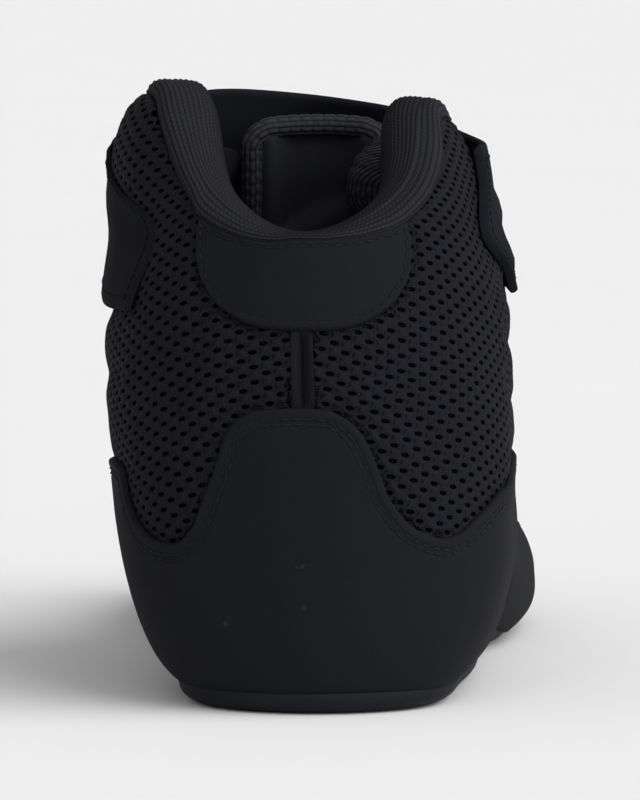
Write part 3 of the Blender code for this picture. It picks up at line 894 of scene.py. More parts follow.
class Bench:
    """Where pieces are modelled: sheets added as grids, set to their places, given walls and handed over."""

    def __init__(self, shift: Array) -> None:
        """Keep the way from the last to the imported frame, and no finish yet."""
        self.shift = shift
        self.finishes: dict[str, bpy.types.Material] = {}

    def finish(self, kind: Finish) -> bpy.types.Material:
        """The material of a finish, made once.

        Args:
            kind: The finish.

        Returns:
            The material.
        """
        if kind.name not in self.finishes:
            self.finishes[kind.name] = kind.material()
        return self.finishes[kind.name]

    @staticmethod
    def pick(piece: Object) -> None:
        """Make a piece the only one selected.

        Args:
            piece: The piece.
        """
        bpy.ops.object.select_all(action="DESELECT")
        piece.select_set(True)
        bpy.context.view_layer.objects.active = piece

    def sheet(self, name: str, points: Array, chart: Optional[Array] = None) -> Object:
        """A grid set to points.

        Args:
            name: The piece's name.
            points: Places in the last's millimetres, columns by rows by 3. Columns run to the right of rows.
            chart: Distances along and across the cloth in millimetres, columns by rows by 2.

        Returns:
            The piece, with points that meet made one.
        """
        columns, rows = points.shape[:2]
        bpy.ops.object.select_all(action="DESELECT")
        bpy.ops.mesh.primitive_grid_add(x_subdivisions=columns - 1, y_subdivisions=rows - 1, size=1.0)
        piece = bpy.context.active_object
        piece.name = piece.data.name = name
        order = np.swapaxes((points + self.shift) * MM, 0, 1).reshape(-1, 3)
        piece.data.vertices.foreach_set("co", order.ravel())
        cloth = piece.data.uv_layers.active or piece.data.uv_layers.new()
        cloth.name = "cloth"
        if chart is not None:
            flat = np.swapaxes(chart * MM, 0, 1).reshape(-1, 2)
            corner = np.empty(len(piece.data.loops), int)
            piece.data.loops.foreach_get("vertex_index", corner)
            cloth.data.foreach_set("uv", flat[corner].ravel())
        piece.data.update()
        self.edit(piece, lambda: bpy.ops.mesh.remove_doubles(threshold=WELD))
        return piece

    def edit(self, piece: Object, *steps: Callable[[], object]) -> None:
        """Run steps in edit mode with all of a piece selected.

        Args:
            piece: The piece.
            steps: What to run, in order.
        """
        self.pick(piece)
        bpy.ops.object.mode_set(mode="EDIT")
        bpy.ops.mesh.select_all(action="SELECT")
        for step in steps:
            step()
        bpy.ops.object.mode_set(mode="OBJECT")

    def close(self, piece: Object) -> None:
        """Fill the open ends of a piece and turn its faces outward.

        Args:
            piece: The piece.
        """
        def rims() -> None:
            """Select the open rims."""
            bpy.ops.mesh.select_all(action="DESELECT")
            bpy.ops.mesh.select_mode(type="EDGE")
            bpy.ops.mesh.select_non_manifold(extend=False, use_wire=False, use_multi_face=False,
                                             use_non_contiguous=False, use_verts=False)

        def outward() -> None:
            """Turn every face outward."""
            bpy.ops.mesh.select_all(action="SELECT")
            bpy.ops.mesh.normals_make_consistent(inside=False)

        self.edit(piece, rims, lambda: bpy.ops.mesh.edge_face_add(), outward)

    def thicken(self, piece: Object, thick: float, offset: float) -> None:
        """Give a sheet a wall, to the side that offset says.

        Args:
            piece: The sheet.
            thick: The wall's thickness.
            offset: Minus 1 for inward, 1 for outward.
        """
        self.pick(piece)
        bpy.ops.object.modifier_add(type="SOLIDIFY")
        wall = piece.modifiers[-1]
        wall.thickness = thick * MM
        wall.offset = offset
        wall.use_even_offset = True
        wall.use_quality_normals = True
        bpy.ops.object.modifier_apply(modifier=wall.name)

    def join(self, name: str, pieces: Sequence[Object]) -> Object:
        """Several pieces as one.

        Args:
            name: The joined piece's name.
            pieces: The pieces.

        Returns:
            The joined piece.
        """
        bpy.ops.object.select_all(action="DESELECT")
        for piece in pieces:
            piece.select_set(True)
        bpy.context.view_layer.objects.active = pieces[0]
        if len(pieces) > 1:
            bpy.ops.object.join()
        pieces[0].name = pieces[0].data.name = name
        return pieces[0]

    def hand_over(self, piece: Object, kind: Finish, slot: str, *nodes: str,
                  crisp: Optional[float] = None) -> None:
        """Dress a piece and set it on the frame.

        Args:
            piece: The piece.
            kind: Its finish.
            slot: A material slot's name; not used.
            nodes: The frame's nodes that it stands for.
            crisp: Angle in degrees past which an edge stays sharp, if any does.
        """
        piece.data.materials.clear()
        piece.data.materials.append(self.finish(kind))
        self.pick(piece)
        if crisp is None:
            bpy.ops.object.shade_smooth()
        else:
            bpy.ops.object.shade_smooth_by_angle(angle=math.radians(crisp))
        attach(piece, ROOT)
        if nodes:
            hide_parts(*nodes)
        log.info("%s: %d faces", piece.name, len(piece.data.polygons))

    def stitches(self, name: str, path: Array, normals: Array, size: "Stitch") -> Object:
        """A row of stitches along a path, one small bead modelled and copied.

        Args:
            name: The row's name.
            path: Places in the last's millimetres.
            normals: Outward directions there.
            size: Length, width, height and pitch of a stitch.

        Returns:
            The row as one piece.
        """
        both = spread(np.concatenate((path, normals), axis=1), size.pitch / 4.0)
        spots, outs = both[::4, :3], both[::4, 3:]
        along = unit(np.gradient(both[:, :3], axis=0)[::4])
        outs = unit(outs - (outs * along).sum(axis=1)[:, None] * along)
        over = np.cross(outs, along)
        bpy.ops.object.select_all(action="DESELECT")
        bpy.ops.mesh.primitive_uv_sphere_add(segments=6, ring_count=5, radius=0.5)
        form, faces = self.read_out(bpy.context.active_object)
        form = form[:, (2, 0, 1)] * (size.length, size.width, size.height)
        places = (spots[:, None] + form[None, :, :1] * along[:, None] + form[None, :, 1:2] * over[:, None]
                  + form[None, :, 2:] * outs[:, None])
        return self.copies(name, places.reshape(-1, 3), faces, len(form))

    def read_out(self, shape: Object) -> tuple[Array, list]:
        """Take a small shape off the bench, its points and faces in the same order each run.

        Args:
            shape: The shape.

        Returns:
            Its points and faces.
        """
        points = np.array([vert.co for vert in shape.data.vertices])
        order = np.lexsort(np.round(points, 5).T)
        rank = np.argsort(order)
        faces = []
        for face in shape.data.polygons:
            ring = rank[list(face.vertices)].tolist()
            low = ring.index(min(ring))
            faces.append(tuple(ring[low:] + ring[:low]))
        self.pick(shape)
        bpy.ops.object.delete()
        return points[order], sorted(faces)

    def copies(self, name: str, places: Array, faces: Sequence[tuple], count: int) -> Object:
        """Copies of one small shape as a piece.

        Args:
            name: The piece's name.
            places: All the copies' points in the last's millimetres, n by 3.
            faces: The shape's faces, by its own points.
            count: How many points one copy has.

        Returns:
            The piece.
        """
        data = bpy.data.meshes.new(name)
        firsts = range(0, len(places), count)
        rows = [tuple(v + first for v in face) for first in firsts for face in faces]
        data.from_pydata(((places + self.shift) * MM).tolist(), [], rows)
        piece = bpy.data.objects.new(name, data)
        bpy.context.scene.collection.objects.link(piece)
        return piece


class Stitch(NamedTuple):
    """Sizes of a stitch and the pitch of its row, in millimetres."""

    length: float = 2.1
    width: float = 0.55
    height: float = 0.5
    pitch: float = 2.7


def sweep(path: Array, outs: Array, section: Array, scale: Optional[Array] = None) -> tuple[Array, Array]:
    """A closed section carried along a path.

    Args:
        path: Places along it, n by 3.
        outs: Directions that the section's second number follows, n by 3.
        section: The section's outline, k by 2, closed by its first point.
        scale: Size of the section along the path, n by 1 or n by 2.

    Returns:
        The points, n by k + 1 by 3, and the chart of distances along and round.
    """
    along = unit(np.gradient(path, axis=0))
    outs = unit(outs - (outs * along).sum(axis=1)[:, None] * along)
    over = np.cross(along, outs)
    ring = np.concatenate((section, section[:1]))
    form = ring[None] * (1.0 if scale is None else np.asarray(scale)[:, None])
    points = path[:, None] + form[..., :1] * over[:, None] + form[..., 1:] * outs[:, None]
    return points, np.stack(np.meshgrid(travel(path), travel(ring), indexing="ij"), axis=-1)


def oval(wide: float, tall: float, count: int, square: float = 1.0) -> Array:
    """An oval outline, squarer as square falls below 1.

    Args:
        wide: Width.
        tall: Height.
        count: Number of points.
        square: Squareness.

    Returns:
        The outline, count by 2.
    """
    turn = np.linspace(0.0, 2.0 * math.pi, count, endpoint=False)
    x, y = (np.sign(k) * np.abs(k) ** square for k in (np.cos(turn), np.sin(turn)))
    return np.stack((0.5 * wide * x, 0.5 * tall * y), axis=1)


class Net:
    """Spacer mesh laid on a sheet: one hollow shaped flat, copied in staggered rows over its chart."""

    RIM, FLOOR = 1.5, 0.18
    SINK, DEPTH = 0.03, 0.42
    SIDES = 12
    STRAY = 1.2

    def __init__(self, points: Array, normals: Array, chart: Array, cloth: MeshCloth) -> None:
        """Keep the sheet as triangles, each with its place on the flat chart.

        Args:
            points: Places in the last's millimetres, columns by rows by 3.
            normals: Outward directions there.
            chart: Distances along and across the cloth, columns by rows by 2.
            cloth: The mesh's finish, which sets the hollows' size and pitch.
        """
        self.cloth = cloth
        self.points, self.normals = points.reshape(-1, 3), normals.reshape(-1, 3)
        self.chart = chart.reshape(-1, 2)
        corner = np.arange(len(self.points)).reshape(points.shape[:2])
        a, b, c, d = corner[:-1, :-1], corner[1:, :-1], corner[1:, 1:], corner[:-1, 1:]
        halves = [np.stack(three, axis=-1).reshape(-1, 3) for three in ((a, b, c), (a, c, d))]
        self.faces = np.concatenate(halves)
        level = np.concatenate((self.chart, np.zeros((len(self.chart), 1))), axis=1)
        self.tree = BVHTree.FromPolygons(level.tolist(), self.faces.tolist())

    def rings(self) -> list[Array]:
        """The cloth that belongs to one hollow: its six-sided outline, the hollow's rim and its floor.

        Returns:
            The three rings, each of 12 points by 3.
        """
        wide, tall = 0.5 * self.cloth.pitch_wide, 0.5 * self.cloth.pitch_tall
        tip = (wide * wide + tall * tall) / (2.0 * wide)
        shoulder = tip - tall * tall / wide
        half = np.array(((tip, 0.0), (shoulder, tall), (-shoulder, tall)))
        corners = np.concatenate((half, -half))
        middles = 0.5 * (corners + np.roll(corners, -1, axis=0))
        outline = np.stack((corners, middles), axis=1).reshape(-1, 2)
        turn = np.arange(self.SIDES) * 2.0 * math.pi / self.SIDES
        hole = np.stack((self.cloth.hole_wide * np.cos(turn), self.cloth.hole_tall * np.sin(turn)), axis=1)
        flat = ((outline, 0.0), (self.RIM * hole, self.SINK), (self.FLOOR * hole, self.DEPTH))
        return [np.concatenate((ring, np.full((self.SIDES, 1), -deep)), axis=1) for ring, deep in flat]

    def cell(self, bench: "Bench") -> tuple[Array, list]:
        """Shape one hollow: a disc set to the outline, drawn in to the rim and pushed down to the floor.

        Args:
            bench: The bench it is shaped on.

        Returns:
            Its points in millimetres and its faces.
        """
        turn = np.arange(self.SIDES) * 2.0 * math.pi / self.SIDES
        before = np.stack((np.cos(turn), np.sin(turn), np.zeros(self.SIDES)), axis=1)
        bpy.ops.object.select_all(action="DESELECT")
        bpy.ops.mesh.primitive_circle_add(vertices=self.SIDES, radius=1.0, fill_type="NGON")
        made = bpy.context.active_object
        for k, ring in enumerate(self.rings()):
            if k:
                bench.edit(made, lambda: bpy.ops.mesh.select_face_by_sides(number=self.SIDES, extend=False),
                           lambda: bpy.ops.mesh.extrude_region())
            for vert in made.data.vertices:
                if vert.select or not k:
                    nearest = np.linalg.norm(before - np.array(vert.co), axis=1).argmin()
                    vert.co = ring[nearest]
            before = ring
        return bench.read_out(made)

    def lay(self, flat: Array) -> tuple[Array, Array, Array]:
        """Carry flat places onto the sheet.

        Args:
            flat: Places on the chart, n by 2.

        Returns:
            Places and directions on the sheet, and how far each flat place was outside it.
        """
        found = [self.tree.find_nearest((u, v, 0.0)) for u, v in flat.tolist()]
        near = np.array([hit[0][:2] for hit in found])
        face = self.faces[np.array([hit[2] for hit in found])]
        first, second, third = (self.chart[face[:, k]] for k in range(3))
        run, rise, way = second - first, third - first, near - first
        area = run[:, 0] * rise[:, 1] - run[:, 1] * rise[:, 0]
        area = np.where(np.abs(area) < 1e-9, np.inf, area)
        b = (way[:, 0] * rise[:, 1] - way[:, 1] * rise[:, 0]) / area
        c = (run[:, 0] * way[:, 1] - run[:, 1] * way[:, 0]) / area
        share = np.stack((1.0 - b - c, b, c), axis=1)[..., None]
        return ((self.points[face] * share).sum(axis=1), (self.normals[face] * share).sum(axis=1),
                np.array([hit[3] for hit in found]))

    @staticmethod
    def sway(flat: Array) -> Array:
        """Places with the small unevenness of a knitted cloth.

        Args:
            flat: Places on the chart, n by 2.

        Returns:
            The swayed places.
        """
        u, v = flat[:, 0], flat[:, 1]
        along = 0.30 * np.sin(v / 7.3 + 1.3 * np.sin(u / 11.0)) + 0.22 * np.sin(u / 5.1 + v / 9.7)
        across = 0.26 * np.sin(u / 8.1 + 0.7) + 0.20 * np.sin(v / 6.3 - u / 13.0)
        return flat + np.stack((along, across), axis=1)

    def build(self, bench: "Bench", name: str) -> Object:
        """Copy the hollow over the sheet.

        Args:
            bench: The bench it is made on.
            name: The piece's name.

        Returns:
            The piece.
        """
        form, faces = self.cell(bench)
        pitch = np.array((self.cloth.pitch_wide, self.cloth.pitch_tall))
        low = np.floor(self.chart.min(axis=0) / pitch) - 1.0
        high = np.ceil(self.chart.max(axis=0) / pitch) + 1.0
        across, up = np.meshgrid(np.arange(low[0], high[0]), np.arange(low[1], high[1]))
        rows = np.stack((across.ravel(), up.ravel()), axis=1)
        middles = np.concatenate((rows, rows + 0.5)) * pitch
        middles = middles[self.lay(middles)[2] < self.STRAY]
        flat = (middles[:, None] + form[None, :, :2]).reshape(-1, 2)
        places, outs, away = self.lay(self.sway(flat))
        deep = np.where(away > 0.001, 0.0, np.tile(form[:, 2], len(middles)))
        piece = bench.copies(name, places + deep[:, None] * outs, faces, len(form))
        data = piece.data
        corner = np.empty(len(data.loops), int)
        data.loops.foreach_get("vertex_index", corner)
        span = flat - flat.min(axis=0)
        for label, chart in (("cloth", flat * MM), (BAKE_MAP, span / span.max())):
            data.uv_layers.new(name=label).data.foreach_set("uv", chart[corner].ravel())
        bench.edit(piece, lambda: bpy.ops.mesh.remove_doubles(threshold=WELD),
                   lambda: bpy.ops.mesh.dissolve_degenerate(threshold=WELD))
        return piece


# Sub-assemblies


# Height of the seam between the wall and the collar's knit over the wall's crown, by station
SEAM = Line((6.9, 1.0), (8.0, 1.2), (8.62, -0.3), (9.07, -1.8), (9.2, -3.4), (9.5, -2.2), (9.84, 0.0),
            (9.97, 1.0), (10.2, 0.4), (10.5, -1.6), (10.8, -3.4), (11.1, -3.4), (11.5, -2.8), (12.0, 1.6),
            (13.0, 1.5))


class Crease(NamedTuple):
    """A soft trough set on the wall, between two places of station and share of the edge's height."""

    start: tuple
    end: tuple
    width: float
    depth: float


@dataclass
class Work:
    """What every sub-assembly is made with: the last and the bench."""

    form: Last
    bench: Bench


@dataclass
class Overlay(Work):
    """A sheet sewn on the wall: its outline, its edge's section and its rows of stitches."""

    name: str
    node: str
    first: float
    last_station: float
    columns: int
    rows: int
    edge: Line
    stitch_rows: tuple = ()
    thick: float = 0.9

    def top(self, station: Array) -> Array:
        """Distance up the wall of the upper edge."""
        raise NotImplementedError

    def low(self, station: Array) -> Array:
        """Distance up the wall of the lower edge."""
        raise NotImplementedError

    def outline(self) -> Array:
        """The edges that are sewn, laid flat, run so that the sheet is on their right.

        Returns:
            The path, n by 2.
        """
        stations = np.linspace(self.first, self.last_station, 500)
        top = self.form.plane(stations, self.top(stations))
        low = self.low(stations[[0, -1]])
        start = np.linspace((top[0, 0], low[0]), top[0], 40)[:-1]
        end = np.linspace(top[-1], (top[-1, 0], low[1]), 40)[1:]
        return np.concatenate((start, top, end))

    def all_round(self, count: int) -> Array:
        """All four edges laid flat, run so that the sheet is on their right.

        Args:
            count: Points along the long edges.

        Returns:
            The path, n by 2.
        """
        stations = np.linspace(self.first, self.last_station, count)
        top = self.form.plane(stations, self.top(stations))
        low = self.form.plane(stations, self.low(stations))[::-1]
        right = np.linspace(top[-1], low[0], 20)[1:-1]
        left = np.linspace(low[-1], top[0], 20)[1:]
        return np.concatenate((top, right, low, left))

    def stations(self) -> Array:
        """The columns' stations."""
        return np.linspace(self.first, self.last_station, self.columns)

    def build(self) -> None:
        """Make the sheet and its stitches."""
        stations = self.stations()
        low, top = self.low(stations), self.top(stations)
        share = np.linspace(0.0, 1.0, self.rows)
        share = 0.35 * share + 0.65 * (1.0 - (1.0 - share) ** 1.6)
        reach = low[:, None] + (top - low)[:, None] * share
        away = distance_to(self.outline(), self.form.plane(stations[:, None], reach))
        lift = self.edge.at(away) + self.swell(stations, reach)
        lift = lift + self.form.fullness(stations[:, None], reach)
        points, _ = Ribs(self.form, stations).set_on(reach, lift)
        piece = self.bench.sheet(self.name, points, self.form.plane(stations[:, None], reach))
        self.bench.thicken(piece, self.thick, -1.0)
        self.bench.hand_over(piece, self.cloth(), "suede", self.node)
        for k, offset in enumerate(self.stitch_rows):
            self.sew(f"{self.node}_stitches_{k + 1}", offset)

    def swell(self, stations: Array, reach: Array) -> Array:
        """Slow unevenness of the sheet."""
        around = self.form.around(stations)[:, None]
        return 0.10 * np.sin(around / 9.0 + 0.07 * reach) * np.sin(reach / 7.0 + 1.0)

    def cloth(self) -> Finish:
        """The sheet's finish."""
        return Suede()

    def sew(self, name: str, offset: float) -> None:
        """A row of stitches inside the outline.

        Args:
            name: The row's name.
            offset: Distance from the outline.
        """
        outline = spread(self.outline(), 0.6)
        path = beside(outline, offset)
        path = path[(path[:, 1] > 1.2) & (distance_to(outline, path) > offset - 0.08)]
        stations = self.form.station_at(path[:, 0])
        lift = float(self.edge.at(offset)) + 0.12 + self.form.fullness(stations, path[:, 1])
        points, normals = self.form.on_wall(stations, path[:, 1], lift)
        self.bench.hand_over(self.bench.stitches(name, points, normals, Stitch()), Thread(), "cord")


@dataclass
class HeelCounter(Overlay):
    """The overlay round the heel: a hump behind, a dip each side, then a long rise forward."""

    specks: tuple = ((-0.0189, -0.1396, 0.0213, 0.75), (-0.0182, -0.1397, 0.0224, 0.6),
                     (-0.0176, -0.1398, 0.0236, 0.5), (-0.0012, -0.1433, 0.0349, 0.6),
                     (0.0006, -0.1433, 0.0352, 0.4), (-0.0024, -0.1433, 0.0346, 0.4),
                     (-0.0008, -0.1435, 0.0254, 0.65))
    EDGE = Line((4.8, 54.0), (6.0, 54.0), (7.4, 55.0), (8.2, 56.0), (8.6, 53.4), (8.68, 46.1), (8.81, 40.4),
                (8.98, 36.7), (9.12, 35.9), (9.27, 39.9), (9.31, 43.2), (9.38, 49.2), (9.43, 53.7),
                (9.48, 59.3), (9.58, 64.3), (9.71, 66.2), (9.96, 66.6), (10.14, 66.2), (10.24, 64.6),
                (10.33, 61.8), (10.40, 57.1), (10.45, 52.0), (10.50, 46.4), (10.56, 42.8), (10.63, 40.0),
                (10.73, 37.9), (10.85, 36.9), (10.97, 38.2), (11.08, 41.0), (11.23, 44.4), (11.44, 47.9),
                (12.0, 51.0), (13.0, 53.0), (14.0, 54.0), (15.2, 54.0))

    def top(self, station: Array) -> Array:
        """Distance up the wall of the upper edge."""
        return self.EDGE.at(station)

    def low(self, station: Array) -> Array:
        """Distance up the wall of the lower edge."""
        return np.full(len(station), 0.4)

    def stations(self) -> Array:
        """Columns, closer together round the hump."""
        even = np.linspace(-1.0, 1.0, self.columns)
        return 10.0 + 5.2 * (0.45 * even + 0.55 * even * np.abs(even) ** 0.9)

    def cloth(self) -> Finish:
        """Suede with its few specks."""
        return Suede(name="suede_heel", specks=self.specks)


@dataclass
class HeelTab(Overlay):
    """The rounded patch under the collar behind the heel."""

    half_wide: float = 0.80
    DROP = Line((0.0, 19.8), (0.36, 20.8), (0.55, 20.0), (0.66, 18.0), (0.73, 15.6), (0.78, 11.0),
                (0.80, 7.5))

    def top(self, station: Array) -> Array:
        """Distance up the wall of the upper edge, at the collar's seam."""
        return self.form.length(station) + SEAM.at(station) + 0.7

    def low(self, station: Array) -> Array:
        """Distance up the wall of the lower edge."""
        return self.form.length(station) - self.DROP.at(np.abs(station - self.form.HEEL))

    def outline(self) -> Array:
        """All round the patch."""
        return self.all_round(200)


@dataclass
class ToeRand(Overlay):
    """The overlay round the toe and forefoot."""

    EDGE = Line((0.0, 34.0), (1.0, 33.0), (2.0, 28.0), (3.0, 25.0), (4.0, 28.0), (4.86, 36.0))

    def top(self, station: Array) -> Array:
        """Distance up the wall of the upper edge."""
        return self.EDGE.at(self.form.from_toe(station))

    def low(self, station: Array) -> Array:
        """Distance up the wall of the lower edge."""
        return np.full(len(station), 0.4)


@dataclass
class Eyestay(Overlay):
    """The lace panel along one side of the throat."""

    WIDE = Line((3.62, 5.0), (3.72, 12.0), (3.95, 17.5), (4.4, 19.0), (6.6, 19.0))

    def top(self, station: Array) -> Array:
        """Distance up the wall of the edge beside the throat."""
        return self.form.edge(station) + 0.4

    def low(self, station: Array) -> Array:
        """Distance up the wall of the outer edge."""
        return self.form.edge(station) - self.WIDE.at(self.form.from_toe(station))

    def outline(self) -> Array:
        """All round the panel."""
        return self.all_round(300)


@dataclass
class Upper(Work):
    """The shoe's wall: a lining and, over it, the mesh of the quarters and of the vamp."""

    counter: HeelCounter
    tab: HeelTab
    rand: ToeRand
    quarter_first: float = 4.70
    vamp_last: float = 4.88
    puff: float = 0.5
    grain: float = 0.14
    seam_half: float = 2.6
    tuck: float = 5.0
    lining_depth: float = 2.3
    lining_thick: float = 1.2
    flexes: tuple = ((196.0, 0.10, 3.6, 0.75), (184.0, -0.06, 3.2, 0.55), (206.0, 0.04, 3.0, 0.4))
    creases: tuple = (
        Crease((12.28, 0.97), (12.22, 0.80), 1.5, 1.1), Crease((12.46, 0.96), (12.40, 0.74), 1.6, 1.2),
        Crease((12.64, 0.95), (12.60, 0.78), 1.5, 1.0), Crease((11.9, 0.62), (13.3, 0.55), 3.2, 0.7),
        Crease((11.75, 0.54), (13.2, 0.46), 3.0, 0.65), Crease((11.6, 0.70), (12.9, 0.66), 2.6, 0.45),
        Crease((8.3, 0.66), (7.0, 0.60), 3.4, 0.75), Crease((8.5, 0.56), (7.1, 0.49), 3.0, 0.6),
        Crease((7.75, 0.97), (7.70, 0.80), 1.5, 0.5), Crease((9.35, 0.90), (9.15, 0.60), 3.0, 0.45),
        Crease((6.9, 0.86), (5.6, 0.62), 3.6, 0.7), Crease((13.1, 0.86), (14.4, 0.62), 3.6, 0.7),
    )

    def build(self) -> None:
        """Make the lining and the two meshes."""
        self.line()
        self.quarters()
        self.vamp()

    def line(self) -> None:
        """The lining: one wall all round."""
        stations = np.linspace(0.0, 20.0, 241)
        reach = self.form.edge(stations)[:, None] * np.linspace(0.0, 1.0, 30)
        rim = self.form.edge(stations)[:, None] - reach
        slack = np.minimum(0.0, self.form.fullness(stations[:, None], reach))
        lift = -self.lining_depth + 1.9 * (1.0 - smooth(0.0, 7.0, rim)) + slack
        points, _ = Ribs(self.form, stations).set_on(reach, lift)
        piece = self.bench.sheet("upper_lining", points, self.form.plane(stations[:, None], reach))
        self.bench.thicken(piece, self.lining_thick, -1.0)
        self.bench.hand_over(piece, Weave(), "mesh", "upper", crisp=50.0)

    def crumple(self, stations: Array, reach: Array, edge: Array) -> Array:
        """Depth of the creases at places on the wall.

        Args:
            stations: The columns' stations.
            reach: Distances up the ribs.
            edge: The upper edge, by column.

        Returns:
            Stand-off, columns by rows.
        """
        spots = self.form.plane(stations[:, None], reach)
        depth = np.zeros(reach.shape)
        for crease in self.creases:
            ends = np.array((crease.start, crease.end))
            run = np.linspace(ends[0], ends[1], 12)
            run[:, 0] += 0.05 * np.sin(np.linspace(0.0, math.pi, 12))
            high = run[:, 1] * np.interp(run[:, 0], stations, edge)
            path = self.form.plane(run[:, 0], high)
            away = distance_to(path, spots) / crease.width
            depth -= crease.depth * (np.exp(-away ** 2) - 0.45 * np.exp(-((away - 1.9) / 0.9) ** 2))
        return depth

    def quarters(self) -> None:
        """The mesh round the heel and both sides, with a seam up the back and a row of stitches in front."""
        stations = np.linspace(self.quarter_first, self.form.ROUND - self.quarter_first, 520)
        collared = smooth(6.75, 6.95, stations) * (1.0 - smooth(13.05, 13.25, stations))
        edge = self.form.edge(stations) + collared * (SEAM.at(stations) + 0.9)
        start = self.counter.top(stations)[:, None] - self.tuck
        reach = start + (edge[:, None] - start) * np.linspace(0.0, 1.0, 120)
        spots = self.form.plane(stations[:, None], reach)
        lift = self.quarter_lift(stations, edge, start, reach)
        points, normals = Ribs(self.form, stations).set_on(reach, lift)
        lean = np.where(stations < self.form.HEEL, self.grain, -self.grain)[:, None]
        chart = np.stack((spots[..., 0] + lean * reach, reach - lean * spots[..., 0]), axis=-1)
        across = spots[:, 0, 0] - self.form.around(self.form.HEEL)
        for side, own in ((Side.INNER, across < -self.seam_half), (Side.OUTER, across > self.seam_half)):
            net = Net(points[own], normals[own], chart[own], MeshCloth())
            self.bench.hand_over(net.build(self.bench, f"quarter_mesh_{side.value}"), MeshCloth(), "mesh")
        near = np.abs(across) < self.seam_half + 0.8
        seam = np.abs(spots[near][..., 0] - self.form.around(self.form.HEEL))
        sunk = 0.03 - 0.18 * smooth(self.seam_half, self.seam_half + 0.7, seam)
        strip = points[near] + sunk[..., None] * normals[near]
        fold = Weave(name="seam_fold", thread=0.8, dark=(0.0045, 0.0047, 0.0068),
                     light=(0.0088, 0.0091, 0.0130))
        self.bench.hand_over(self.bench.sheet("back_seam", strip, chart[near]), fold, "mesh")
        for side, column in ((Side.INNER, 12), (Side.OUTER, len(stations) - 13)):
            keep = reach[column] > start[column] + self.tuck + 0.5
            row = self.bench.stitches(f"quarter_seam_{side.value}", points[column][keep],
                                      normals[column][keep], Stitch())
            self.bench.hand_over(row, Thread(), "cord")

    def quarter_lift(self, stations: Array, edge: Array, start: Array, reach: Array) -> Array:
        """How far the quarters' mesh stands off the ribs: puffed, creased, drawn in along what is sewn.

        Args:
            stations: The columns' stations.
            edge: The upper edge, by column.
            start: The lower edge, by column.
            reach: Distances up the ribs.

        Returns:
            Stand-off, columns by rows.
        """
        spots = self.form.plane(stations[:, None], reach)
        sewn = distance_to(self.counter.outline()[40:-40], spots) * (reach > start + self.tuck)
        patch = distance_to(self.tab.outline(), spots)
        behind = np.abs(stations - self.form.HEEL) < self.tab.half_wide
        patch *= ~(behind[:, None] & (reach > self.tab.low(stations)[:, None]))
        seam = np.abs(spots[..., 0] - self.form.around(self.form.HEEL))
        rim = np.minimum(edge[:, None] - reach, 12.0)
        front = np.minimum(spots[..., 0] - spots[:1, :, 0], spots[-1:, :, 0] - spots[..., 0])
        lift = self.puff * smooth(0.0, 8.0, sewn) * smooth(0.0, 5.0, patch) * smooth(0.0, 9.0, rim)
        lift *= 0.35 + 0.65 * smooth(0.0, 5.0, seam)
        lift += 0.55 * (np.exp(-((seam - 2.0) / 0.9) ** 2)) - 1.3 * np.exp(-(seam / 0.85) ** 2)
        lift += self.crumple(stations, reach, edge)
        lift += 0.28 * np.sin(spots[..., 0] / 8.5 + reach / 17.0) * np.sin(reach / 11.0 + 0.6)
        lift += 0.5 * (1.0 - smooth(0.0, 4.0, front)) + 0.1
        covered = np.minimum(smooth(0.0, 2.0, sewn), smooth(0.0, 2.0, patch))
        lift = covered * lift - 0.25 * (1.0 - covered) + self.form.fullness(stations[:, None], reach)
        strapped = (smooth(6.9, 7.2, stations) * (1.0 - smooth(8.7, 8.88, stations)))[:, None]
        lift -= 0.75 * strapped * smooth(86.0, 94.0, reach) * (1.0 - smooth(112.0, 126.0, reach))
        lift[[0, -1]] = -0.6
        lift[:, -1] -= 1.0
        return lift

    def unroll(self, flat: Array) -> Array:
        """Chart of the forefoot: distances down from the ridge, laid out in plan.

        Args:
            flat: Places on the forefoot.

        Returns:
            Places on the chart.
        """
        crest = self.form.handles(np.linspace(0.0, 4.9, 60))[:, 3]
        ridge_z = np.interp(flat[..., 1], crest[::-1, 1], crest[::-1, 2])
        aside = flat[..., 0] - np.interp(flat[..., 1], crest[::-1, 1], crest[::-1, 0])
        beyond = np.maximum(0.0, flat[..., 1] - crest[0, 1])
        level = np.maximum(np.hypot(aside, beyond), 0.5)
        stretch = np.hypot(level, ridge_z - flat[..., 2]) / level
        ahead = np.minimum(flat[..., 1], crest[0, 1]) + beyond * stretch
        return np.stack((aside * stretch, ahead * 1.04), axis=-1)

